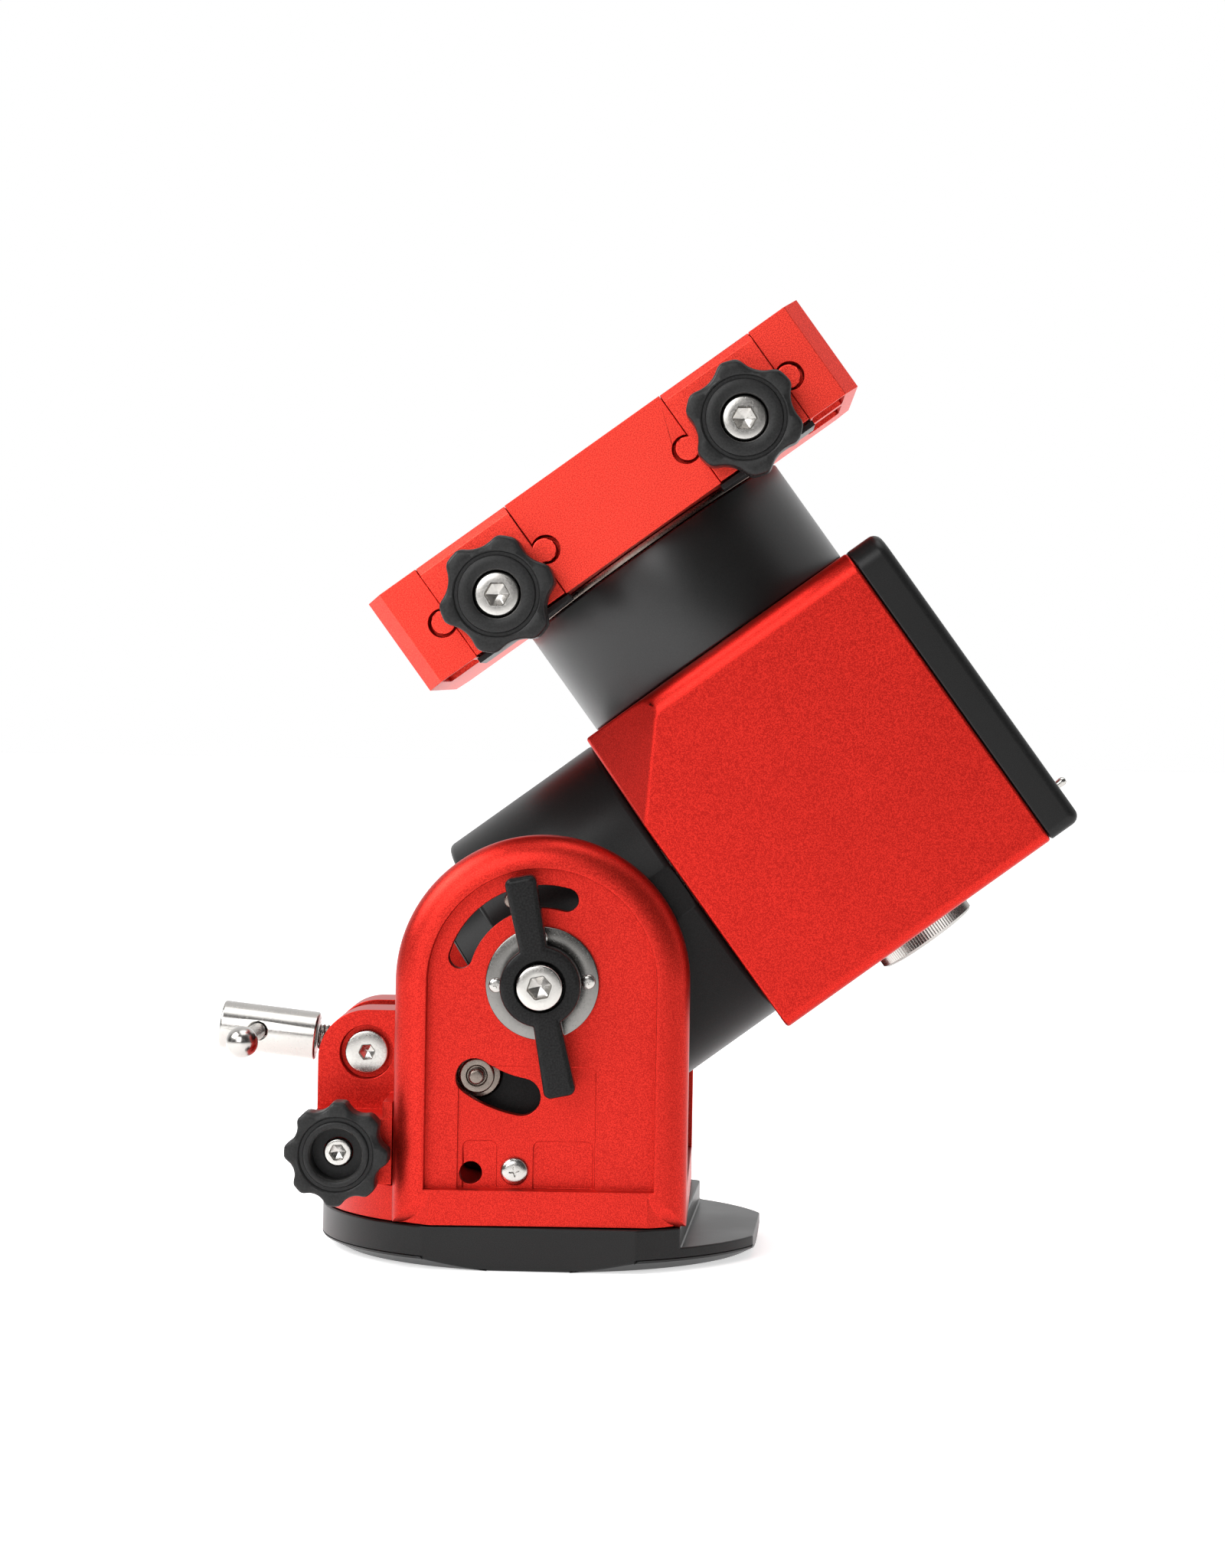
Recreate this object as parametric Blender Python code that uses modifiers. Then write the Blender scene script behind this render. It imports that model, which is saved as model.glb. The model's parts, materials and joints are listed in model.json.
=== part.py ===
"""Equatorial mount with two strain-wave drives, a fork base and a dovetail saddle.

World frame: +Z up, origin at the centre of the base plate's underside, +X towards
the drive head, the clamp knobs on the -Y side. Sizes are in millimetres and
degrees; the helpers turn them into metres.
"""
from math import acos, asin, atan2, cos, degrees, hypot, pi, radians, sin

import bmesh
import bpy
from mathutils import Matrix, Vector

MM = 0.001
GAP = 0.3
CLEAR = 5.0

# Base plate and azimuth pivot
BASE_RADIUS = 67.5
BASE_HEIGHT = 12.4
BASE_FOOT_RADIUS = 61.0
BASE_FOOT_RISE = 3.2
BASE_FLAT_Y = 60.0
BASE_FLAT_X = 62.9
BASE_STEP_X = 43.0
BASE_STEP_Z = 6.6
BASE_YAW = -2.4
HUB_RADIUS = 20.0
HUB_FLANGE_RADIUS = 26.0
HUB_TOP = 26.0
CLAMP_BOLT_Y = 34.0
TRIPOD_HOLE_RADIUS = 2.6
TRIPOD_HOLE_OFFSET = 26.0

# Fork
FORK_BOTTOM = BASE_HEIGHT + GAP
FORK_FLOOR_TOP = 22.9
FORK_RADIUS = 66.8
FORK_HALF_X = 42.4
FORK_FRONT_Y = 59.0
PLATE_INNER_Y = 49.3
PLATE_POCKET_Y = 54.6
POCKET_RADIUS = 33.0
PANEL_DEPTH = 0.8
RIM_RADIUS = 34.0
RIM_SHOULDER_Y = 52.5
ALTITUDE_Z = 82.2
STUB_RADIUS = 10.0
LIMIT_SLOT_RADIUS = 24.8
LIMIT_SLOT_HALF = 3.35
LIMIT_SLOT_FROM = 74.4
LIMIT_SLOT_TO = 163.4
LIMIT_PIN_ANGLE = 111.0
LIMIT_PIN_RADIUS = 2.4

# Altitude adjuster: trunnion on the altitude body, pivot block in the ears
TRUNNION_REACH = 33.0
TRUNNION_ANGLE = 235.6
TRUNNION_SLOT_RADIUS = 33.4
TRUNNION_SLOT_HALF = 5.4
TRUNNION_SLOT_TO = 260.6
TRUNNION_PIN_RADIUS = 4.4
LUG_RADIUS = 9.5
LUG_FRONT = -8.0
LUG_LOW = -36.0
LUG_HIGH = 9.0
LUG_CORNER = (-26.0, -34.0)
LUG_INNER_Y = 33.0
LUG_OUTER_Y = 44.5
POCKET_BOTTOM = 22.9
PANEL_LEFT = -23.7
PANEL_RIGHT = 15.8
PANEL_TOP = 58.1
SUB_PANELS = ((-22.2, -12.4), (-1.9, 15.2))
SUB_PANEL_TOP = 36.4
SUB_PANEL_DEPTH = 1.2
PANEL_HOLE_X = -19.85
PANEL_HOLE_Z = 27.2
PANEL_HOLE_RADIUS = 3.2
PANEL_SCREW_X = -7.2
PANEL_SCREW_Z = 27.9
PANEL_SCREW_BORE = 2.0
POST_SLOT_LEFT = -64.3
POST_SLOT_RIGHT = -50.0
POST_SLOT_HALF_Y = 14.0
BOLT_SLOT_HALF_X = 9.5
BOLT_SLOT_HALF_Y = 4.2
EAR_BORE_RADIUS = 4.4
EAR_SINK_RADIUS = 7.9
EAR_SINK_DEPTH = 4.0
PIVOT_X = -52.9
PIVOT_Z = 58.7
EAR_LEFT = -67.2
EAR_TOP = 71.2
EAR_CORNER = 14.4
EAR_OUTER_Y = 27.0
EAR_INNER_Y = 8.2
EAR_GAP_FLOOR = 45.0
WEB_INNER_X = -36.5
ADJUSTER_RADIUS = 4.0
ADJUSTER_PAST = 12.0
BLOCK_RADIUS = 7.0
BLOCK_BORE = 4.7
HANDLE_RADIUS = 7.25
HANDLE_START = 17.5
HANDLE_LENGTH = 29.0
TOMMY_FROM_PIVOT = 35.0
TOMMY_RADIUS = 2.5
TOMMY_BALL_RADIUS = 4.65
TOMMY_NEAR_Y = -42.0
TOMMY_SPAN = 55.0

# Azimuth screws
AZIMUTH_X = -57.5
AZIMUTH_Z = 33.2
AZIMUTH_BLOCK_Y = 52.0
AZIMUTH_BLOCK_TOP = 42.0
AZIMUTH_RIB_TOP = 47.0
AZIMUTH_RIB_LEFT = -45.6
AZIMUTH_SCREW_LENGTH = 51.6
AZIMUTH_KNOB_RADIUS = 14.9
AZIMUTH_KNOB_DEPTH = 10.5
POST_RADIUS = 6.0
POST_TOP = 39.0
AZIMUTH_SCREW_RADIUS = 4.0

# Clamp levers on the altitude axis
LEVER_HALF_LENGTH = 31.8
LEVER_TILT = 11.5
LEVER_HUB_RADIUS = 11.5
LEVER_OUTER_Y = 70.0
LEVER_ARM_Y = 62.0
CLAMP_DISC_RADIUS = 16.3

# Polar (RA) unit
ELEVATION = 36.4
RA_DROP = 0.8
RA_RADIUS = 48.6
RA_BORE = 44.0
RA_REAR = -4.0
REAR_RADIUS = 36.0
REAR_END = -17.0
RA_FRONT = 49.2
RA_FLAT_Y = 47.8
RA_FLAT_HALF = 7.0

# Drive head
HEAD_START = 49.8
HEAD_SEAM = 143.1
HEAD_END = 153.8
HEAD_HALF_Y = 52.0
HEAD_HALF_N = 50.9
HEAD_WALL = 3.3
HEAD_TOP_ROUND = 7.0
HEAD_BOTTOM_ROUND = 3.2
FACET_ALONG = 26.5
FACET_ACROSS = 20.0
FACET_DOWN = 30.5
MOTOR_SIDE = 42.3
FLEX_OUTER = 26.6
FLEX_INNER = 25.2

SWITCH_Y = -18.0
SWITCH_N = -41.2
INLET_Y = 2.0
INLET_N = -38.5
PORT_Y = 25.0
PORT_N = -38.5

# Declination (DEC) unit and saddle
DEC_ALONG = 97.8
DEC_RADIUS = 45.0
DEC_BORE = 40.0
DEC_TOP = 85.6
SADDLE_HALF_LENGTH = 75.8
SADDLE_END_CUT = 4.5
SADDLE_SIDE_CUT = 6.0
DEC_FLANGE_RADIUS = 42.5
SADDLE_HALF_Y = 55.0
SADDLE_BOTTOM = 88.1
SADDLE_TOP = 118.8
CHANNEL_FLOOR = 106.0
CHANNEL_FOOT_Y = 38.5
CHANNEL_MOUTH_Y = 33.6
GROOVE_FOOT_Y = 22.6
GROOVE_MOUTH_Y = 20.0
LEDGE_EDGE_Y = 33.2
CORNER_RELIEF = 0.8
GROOVE_FLOOR = 98.0
JAW_OFFSET = 43.0
JAW_HALF = 15.5
JAW_OUTER_Y = 56.3
JAW_INNER_Y = 36.6
JAW_LIP_Y = 33.6
KEY_OFFSET = 17.8
KEY_RADIUS = 3.4
KEY_N = 101.7
KEY_INNER_Y = 46.0
KEY_CLEARANCE = 0.8
KNOB_N = 98.5
KNOB_RADIUS = 16.7
KNOB_BACK_Y = 58.0
KNOB_FRONT_Y = 74.0

COLOURS = {
    "red_anodised": ((0.62, 0.03, 0.02, 1.0), 0.45, 0.6),
    "black_anodised": ((0.02, 0.02, 0.022, 1.0), 0.45, 0.5),
    "black_plastic": ((0.03, 0.03, 0.032, 1.0), 0.5, 0.0),
    "stainless": ((0.6, 0.58, 0.55, 1.0), 0.25, 1.0),
    "dark_steel": ((0.2, 0.18, 0.17, 1.0), 0.35, 1.0),
    "circuit_green": ((0.02, 0.15, 0.06, 1.0), 0.5, 0.0),
}


# ---------------------------------------------------------------- scene helpers
def clear_scene():
    for obj in list(bpy.data.objects):
        bpy.data.objects.remove(obj, do_unlink=True)


def make_collection(name):
    collection = bpy.data.collections.new(name)
    bpy.context.scene.collection.children.link(collection)
    return collection


def make_material(name):
    colour, roughness, metallic = COLOURS[name]
    material = bpy.data.materials.new(name)
    material.use_nodes = True
    shader = material.node_tree.nodes["Principled BSDF"]
    shader.inputs["Base Color"].default_value = colour
    shader.inputs["Roughness"].default_value = roughness
    shader.inputs["Metallic"].default_value = metallic
    return material


def make_frame(name, location, rotation=(0.0, 0.0, 0.0), parent=None):
    """An empty that carries one joint's frame; location in mm, rotation in degrees."""
    frame = bpy.data.objects.new(name, None)
    frame.empty_display_size = 0.02
    PARTS.objects.link(frame)
    frame.parent = parent
    frame.location = Vector(location) * MM
    frame.rotation_euler = [radians(angle) for angle in rotation]
    return frame


def add_object(name, mesh, frame, location=(0.0, 0.0, 0.0), material=None):
    """Link a mesh as a sub-part when it has a material, else as a hidden cutter."""
    obj = bpy.data.objects.new(name, mesh)
    obj.parent = frame
    obj.location = Vector(location) * MM
    if material is None:
        CUTTERS.objects.link(obj)
        obj.hide_render = True
        obj.display_type = "WIRE"
    else:
        PARTS.objects.link(obj)
        obj.data.materials.append(MATERIALS[material])
    return obj


def boolean(target, tool, operation):
    modifier = target.modifiers.new(tool.name, "BOOLEAN")
    modifier.operation = operation
    modifier.object = tool


def cut(target, *tools):
    for tool in tools:
        boolean(target, tool, "DIFFERENCE")


def fuse(target, *tools):
    for tool in tools:
        boolean(target, tool, "UNION")


def smooth(obj, angle=35.0):
    obj.data.shade_smooth()
    obj.data.set_sharp_from_angle(angle=radians(angle))


# ---------------------------------------------------------------- mesh helpers
def box_mesh(name, low, high):
    """A box between two opposite corners."""
    mesh = bpy.data.meshes.new(name)
    shape = bmesh.new()
    bmesh.ops.create_cube(shape, size=1.0)
    low_corner = Vector(low) * MM
    high_corner = Vector(high) * MM
    bmesh.ops.scale(shape, vec=high_corner - low_corner, verts=shape.verts)
    bmesh.ops.translate(shape, vec=(low_corner + high_corner) / 2, verts=shape.verts)
    shape.to_mesh(mesh)
    shape.free()
    return mesh


def axis_turn(axis):
    """Rotation that takes local Z to the named axis."""
    turns = {
        "Z": Matrix.Identity(4),
        "Y": Matrix.Rotation(-pi / 2, 4, "X"),
        "X": Matrix.Rotation(pi / 2, 4, "Y"),
    }
    return turns[axis]


def rod_mesh(name, radius, start, end, axis="Z", centre=(0.0, 0.0, 0.0), segments=20):
    """A cylinder along an axis, between two positions on it."""
    mesh = bpy.data.meshes.new(name)
    shape = bmesh.new()
    bmesh.ops.create_cone(shape, cap_ends=True, segments=segments, radius1=radius * MM,
                          radius2=radius * MM, depth=(end - start) * MM)
    bmesh.ops.translate(shape, vec=(0, 0, (start + end) / 2 * MM), verts=shape.verts)
    shape.to_mesh(mesh)
    shape.free()
    mesh.transform(Matrix.Translation(Vector(centre) * MM) @ axis_turn(axis))
    return mesh


def turned(name, frame, profile, material, axis="Z", location=(0.0, 0.0, 0.0),
           ring=False, steps=32):
    """A turned piece: profile points (radius, height) run down the outer side."""
    mesh = bpy.data.meshes.new(name)
    shape = bmesh.new()
    verts = [shape.verts.new((radius * MM, 0.0, height * MM)) for radius, height in profile]
    for first, second in zip(verts, verts[1:]):
        shape.edges.new((first, second))
    if ring:
        shape.edges.new((verts[-1], verts[0]))
    shape.to_mesh(mesh)
    shape.free()
    obj = add_object(name, mesh, frame, location, material)
    obj.rotation_euler = axis_turn(axis).to_euler()
    screw = obj.modifiers.new("Turn", "SCREW")
    screw.axis = "Z"
    screw.steps = steps
    screw.render_steps = steps
    screw.use_merge_vertices = True
    screw.merge_threshold = 0.00001
    screw.use_smooth_shade = True
    return obj


def arc(centre, radius, start, end, count):
    """Points on an arc, angles in degrees, ends included."""
    points = []
    for step in range(count + 1):
        angle = radians(start + (end - start) * step / count)
        points.append((centre[0] + radius * cos(angle), centre[1] + radius * sin(angle)))
    return points


def outline_mesh(name, outline, low, high, plane="XY", holes=()):
    """A flat outline given thickness; the plane is XY, XZ (thick in Y) or YZ (thick in X)."""
    curve = bpy.data.curves.new(name, "CURVE")
    curve.dimensions = "2D"
    curve.fill_mode = "BOTH"
    curve.extrude = (high - low) / 2 * MM
    for loop in (outline, *holes):
        spline = curve.splines.new("POLY")
        spline.points.add(len(loop) - 1)
        for point, (across, up) in zip(spline.points, loop):
            point.co = (across * MM, up * MM, 0.0, 1.0)
        spline.use_cyclic_u = True
    guide = bpy.data.objects.new(name, curve)
    CUTTERS.objects.link(guide)
    graph = bpy.context.evaluated_depsgraph_get()
    mesh = bpy.data.meshes.new_from_object(guide.evaluated_get(graph))
    bpy.data.objects.remove(guide)
    shape = bmesh.new()
    shape.from_mesh(mesh)
    bmesh.ops.remove_doubles(shape, verts=shape.verts, dist=0.000001)
    shape.to_mesh(mesh)
    shape.free()
    middle = (low + high) / 2 * MM
    placing = {
        "XY": Matrix.Translation((0, 0, middle)),
        "XZ": Matrix.Translation((0, middle, 0)) @ Matrix.Rotation(pi / 2, 4, "X"),
        "YZ": Matrix.Translation((middle, 0, 0)) @ Matrix.Rotation(pi / 2, 4, "Z")
        @ Matrix.Rotation(pi / 2, 4, "X"),
    }
    mesh.transform(placing[plane])
    return mesh


def loft_mesh(name, sections):
    """A solid through matching outlines; each section is a list of 3D points in mm."""
    mesh = bpy.data.meshes.new(name)
    shape = bmesh.new()
    rings = [[shape.verts.new(Vector(point) * MM) for point in section] for section in sections]
    for lower, upper in zip(rings, rings[1:]):
        for index in range(len(lower)):
            after = (index + 1) % len(lower)
            shape.faces.new((lower[index], lower[after], upper[after], upper[index]))
    shape.faces.new(reversed(rings[0]))
    shape.faces.new(rings[-1])
    bmesh.ops.recalc_face_normals(shape, faces=shape.faces)
    shape.to_mesh(mesh)
    shape.free()
    return mesh


def half_space_mesh(name, point, normal, size):
    """A cube whose one face lies on the plane through point, on the normal's side."""
    mesh = bpy.data.meshes.new(name)
    shape = bmesh.new()
    bmesh.ops.create_cube(shape, size=size * MM)
    shape.to_mesh(mesh)
    shape.free()
    direction = Vector(normal).normalized()
    centre = Vector(point) * MM + direction * size * MM / 2
    mesh.transform(Matrix.Translation(centre) @ direction.to_track_quat("Z", "Y").to_matrix().to_4x4())
    return mesh


def star_outline(centre, radius, lobes, depth, turn, per_lobe=6):
    """A hand knob's outline: flat-topped lobes with scooped gaps between them."""
    points = []
    count = lobes * per_lobe
    for step in range(count):
        angle = 2 * pi * step / count
        wave = cos(lobes * angle)
        scoop = max(0.0, -wave) ** 0.8
        reach = radius - depth * scoop
        spin = angle + radians(turn)
        points.append((centre[0] + reach * cos(spin), centre[1] + reach * sin(spin)))
    return points


def polar(centre, radius, angle):
    return (centre[0] + radius * cos(radians(angle)), centre[1] + radius * sin(radians(angle)))


# ---------------------------------------------------------------- base and azimuth
def build_base(frame):
    plate = turned("base_plate", frame, [
        (0, BASE_HEIGHT), (BASE_RADIUS, BASE_HEIGHT), (BASE_RADIUS, BASE_FOOT_RISE),
        (BASE_FOOT_RADIUS, 0), (0, 0)], "black_anodised", steps=64)
    far = BASE_RADIUS + 5
    for side in (-1, 1):
        low_y, high_y = sorted((side * BASE_FLAT_Y, side * far))
        cut(plate, add_object("cut_base_flat", box_mesh("cut", (-far, low_y, -1), (far, high_y, 20)), frame))
    cut(plate, add_object("cut_base_end", box_mesh("cut", (BASE_FLAT_X, -far, -1), (far, far, 20)), frame))
    cut(plate, add_object("cut_base_step", box_mesh("cut", (BASE_STEP_X, -far, BASE_STEP_Z), (far, far, 20)), frame))
    offset = TRIPOD_HOLE_OFFSET
    for x, y in ((offset, offset), (-offset, offset), (-offset, -offset), (offset, -offset)):
        hole = rod_mesh("cut", TRIPOD_HOLE_RADIUS, -1, 8, centre=(x, y, 0), segments=16)
        cut(plate, add_object("cut_tripod_hole", hole, frame))
    for y in (-CLAMP_BOLT_Y, CLAMP_BOLT_Y):
        hole = rod_mesh("cut", 3 + GAP, 3.5, 20, centre=(0, y, 0), segments=16)
        cut(plate, add_object("cut_clamp_bolt_hole", hole, frame))

    turned("azimuth_hub", frame, [
        (0, HUB_TOP), (HUB_FLANGE_RADIUS, HUB_TOP), (HUB_FLANGE_RADIUS, FORK_FLOOR_TOP + 0.4),
        (HUB_RADIUS, FORK_FLOOR_TOP + 0.4), (HUB_RADIUS, FORK_BOTTOM), (0, FORK_BOTTOM)],
        "black_anodised")
    post = add_object("azimuth_post", rod_mesh("azimuth_post", POST_RADIUS, FORK_BOTTOM, POST_TOP),
                      frame, (AZIMUTH_X, 0, 0), "stainless")
    smooth(post)
    head_base = FORK_FLOOR_TOP + GAP
    for side, y in (("near", -CLAMP_BOLT_Y), ("far", CLAMP_BOLT_Y)):
        turned("azimuth_clamp_bolt_" + side, frame, [
            (0, head_base + 6), (5, head_base + 6), (5, head_base), (3, head_base),
            (3, 4), (0, 4)], "stainless", location=(0, y, 0), steps=20)


# ---------------------------------------------------------------- fork
def floor_outline():
    """Round fork floor with flats front and back, cut square on the +X side."""
    side = degrees(acos(FORK_HALF_X / FORK_RADIUS))
    flat = degrees(asin(FORK_FRONT_Y / FORK_RADIUS))
    points = arc((0, 0), FORK_RADIUS, side, flat, 3)
    points += arc((0, 0), FORK_RADIUS, 180 - flat, 180 + flat, 18)
    points += arc((0, 0), FORK_RADIUS, -flat, -side, 3)
    return points


def arch_outline(radius, centre_z, bottom):
    """An arch: half circle over straight sides down to bottom, in the XZ plane."""
    return [(radius, bottom)] + arc((0, centre_z), radius, 0, 180, 20) + [(-radius, bottom)]


def arch_section(radius, y):
    """One level of a side plate; its lower edge rises as the border rounds inwards."""
    share = (FORK_HALF_X - radius) / (FORK_HALF_X - RIM_RADIUS)
    bottom = FORK_BOTTOM + share * (FORK_FLOOR_TOP - FORK_BOTTOM)
    return [(x, y, z) for x, z in arch_outline(radius, ALTITUDE_Z, bottom)]


def rim_sections(side):
    """Outer faces of one side plate: flat inner face, then a rounded border to the rim."""
    width = FORK_HALF_X - RIM_RADIUS
    rise = FORK_FRONT_Y - RIM_SHOULDER_Y
    sections = [arch_section(FORK_HALF_X, side * PLATE_INNER_Y)]
    for step in range(4):
        angle = pi / 2 * step / 3
        radius = FORK_HALF_X - width * (1 - cos(angle))
        sections.append(arch_section(radius, side * (RIM_SHOULDER_Y + rise * sin(angle))))
    return sections


def slot_outline(radius, start, end, half):
    """A round-ended slot that follows an arc about the altitude axis."""
    centre = (0, ALTITUDE_Z)
    points = arc(centre, radius + half, start, end, 8)
    points += arc(polar(centre, radius, end), half, end, end + 180, 5)[1:-1]
    points += arc(centre, radius - half, end, start, 8)
    points += arc(polar(centre, radius, start), half, start + 180, start + 360, 5)[1:-1]
    return points


def build_fork(frame):
    fork = add_object("fork", outline_mesh("fork", floor_outline(), FORK_BOTTOM, FORK_FLOOR_TOP),
                      frame, material="red_anodised")
    for name, side in (("near", -1), ("far", 1)):
        fuse(fork, add_object("join_plate_" + name, loft_mesh("plate", rim_sections(side)), frame))
    reach = FORK_FRONT_Y + 3
    for side in (-1, 1):
        low, high = sorted((side * PLATE_POCKET_Y, side * reach))
        pocket = outline_mesh("cut", arch_outline(POCKET_RADIUS, ALTITUDE_Z, POCKET_BOTTOM),
                              low, high, "XZ")
        cut(fork, add_object("cut_plate_pocket", pocket, frame))
        low, high = sorted((side * (PLATE_POCKET_Y - PANEL_DEPTH), side * reach))
        panel = box_mesh("cut", (PANEL_LEFT, low, POCKET_BOTTOM), (PANEL_RIGHT, high, PANEL_TOP))
        cut(fork, add_object("cut_panel", panel, frame))
        low, high = sorted((side * (PLATE_POCKET_Y - PANEL_DEPTH - SUB_PANEL_DEPTH), side * reach))
        for left, right in SUB_PANELS:
            sub_panel = box_mesh("cut", (left, low, POCKET_BOTTOM), (right, high, SUB_PANEL_TOP))
            cut(fork, add_object("cut_sub_panel", sub_panel, frame))
    through = [
        rod_mesh("cut", STUB_RADIUS + 0.4, -reach, reach, "Y", (0, 0, ALTITUDE_Z)),
        outline_mesh("cut", slot_outline(LIMIT_SLOT_RADIUS, LIMIT_SLOT_FROM, LIMIT_SLOT_TO,
                                         LIMIT_SLOT_HALF), -reach, reach, "XZ"),
        outline_mesh("cut", slot_outline(TRUNNION_SLOT_RADIUS, TRUNNION_ANGLE - 0.6,
                                         TRUNNION_SLOT_TO, TRUNNION_SLOT_HALF), -reach, reach, "XZ"),
        rod_mesh("cut", PANEL_HOLE_RADIUS, -reach, reach, "Y", (PANEL_HOLE_X, 0, PANEL_HOLE_Z), 20),
        rod_mesh("cut", PANEL_SCREW_BORE, -reach, reach, "Y", (PANEL_SCREW_X, 0, PANEL_SCREW_Z), 16),
    ]
    for mesh in through:
        cut(fork, add_object("cut_plate_through", mesh, frame))
    low, high = FORK_BOTTOM - 2, FORK_FLOOR_TOP + 2
    floor_cuts = [
        rod_mesh("cut", HUB_RADIUS + 0.4, low, high, segments=48),
        box_mesh("cut", (POST_SLOT_LEFT, -POST_SLOT_HALF_Y, low), (POST_SLOT_RIGHT, POST_SLOT_HALF_Y, high)),
    ]
    for y in (-CLAMP_BOLT_Y, CLAMP_BOLT_Y):
        floor_cuts.append(box_mesh("cut", (-BOLT_SLOT_HALF_X, y - BOLT_SLOT_HALF_Y, low),
                                   (BOLT_SLOT_HALF_X, y + BOLT_SLOT_HALF_Y, high)))
    for mesh in floor_cuts:
        cut(fork, add_object("cut_floor", mesh, frame))

    for name, side in (("near", -1), ("far", 1)):
        face = side * (PLATE_POCKET_Y - PANEL_DEPTH + GAP)
        turned("panel_screw_" + name, frame, [
            (0, 2.0), (3.2, 2.0), (4.0, 1.4), (4.0, 0), (1.7, 0), (1.7, -3.5), (0, -3.5)],
            "stainless", axis="Y", location=(PANEL_SCREW_X, face, PANEL_SCREW_Z), steps=20)
        if side < 0:
            PARTS.objects["panel_screw_near"].rotation_euler = (pi / 2, 0, 0)


def ear_outline():
    corner = (EAR_LEFT + EAR_CORNER, EAR_TOP - EAR_CORNER)
    bottom = FORK_FLOOR_TOP + GAP
    inner = WEB_INNER_X - 3
    return [(inner, bottom), (inner, EAR_TOP)] + arc(corner, EAR_CORNER, 90, 180, 6) + [(EAR_LEFT, bottom)]


def build_adjuster_bracket(frame):
    """Two ears and the azimuth block on a web that closes the fork's -X side."""
    bottom = FORK_FLOOR_TOP + GAP
    web_half = PLATE_INNER_Y - GAP
    bracket = add_object("adjuster_bracket",
                         outline_mesh("adjuster_bracket", ear_outline(), -EAR_OUTER_Y, EAR_OUTER_Y, "XZ"),
                         frame, material="red_anodised")
    web = box_mesh("join", (-FORK_HALF_X, -web_half, bottom), (WEB_INNER_X, web_half, EAR_TOP - 1))
    fuse(bracket, add_object("join_web", web, frame))
    block_y = AZIMUTH_BLOCK_Y
    block = box_mesh("join", (EAR_LEFT, -block_y, bottom), (-FORK_HALF_X - GAP, block_y, AZIMUTH_BLOCK_TOP))
    fuse(bracket, add_object("join_block", block, frame))
    rib = box_mesh("join", (AZIMUTH_RIB_LEFT, -block_y + 0.5, bottom),
                   (-FORK_HALF_X - GAP, block_y - 0.5, AZIMUTH_RIB_TOP))
    fuse(bracket, add_object("join_rib", rib, frame))
    inner = box_mesh("join", (-50, -web_half + 1, bottom), (-FORK_HALF_X + 1, web_half - 1, AZIMUTH_BLOCK_TOP - 1))
    fuse(bracket, add_object("join_inner", inner, frame))
    gap = EAR_INNER_Y
    cuts = [
        box_mesh("cut", (-80, -60, 5), (0, 60, bottom)),
        box_mesh("cut", (-80, -gap, EAR_GAP_FLOOR), (0, gap, 90)),
        box_mesh("cut", (POST_SLOT_LEFT, -POST_SLOT_HALF_Y - 1, 5), (POST_SLOT_RIGHT, POST_SLOT_HALF_Y + 1, POST_TOP + 2)),
        rod_mesh("cut", AZIMUTH_SCREW_RADIUS + 0.4, -60, 60, "Y", (AZIMUTH_X, 0, AZIMUTH_Z), 24),
        rod_mesh("cut", EAR_BORE_RADIUS, -40, 40, "Y", (PIVOT_X, 0, PIVOT_Z), 24),
        rod_mesh("cut", EAR_SINK_RADIUS, -40, EAR_SINK_DEPTH - EAR_OUTER_Y, "Y", (PIVOT_X, 0, PIVOT_Z), 32),
        rod_mesh("cut", EAR_SINK_RADIUS, EAR_OUTER_Y - EAR_SINK_DEPTH, 40, "Y", (PIVOT_X, 0, PIVOT_Z), 32),
    ]
    for mesh in cuts:
        cut(bracket, add_object("cut_bracket", mesh, frame))
    for name, side in (("near", 1), ("far", -1)):
        screw = turned("ear_screw_" + name, frame, [
            (0, -23.6), (2.6, -23.6), (2.6, -26.4), (5.9, -26.4), (6.4, -25.9), (6.4, -23.3),
            (4.0, -23.3), (4.0, -9.0), (0, -9.0)][::-1], "stainless", axis="Y",
            location=(PIVOT_X, 0, PIVOT_Z), steps=14)
        if side < 0:
            screw.rotation_euler = (pi / 2, 0, 0)


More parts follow.
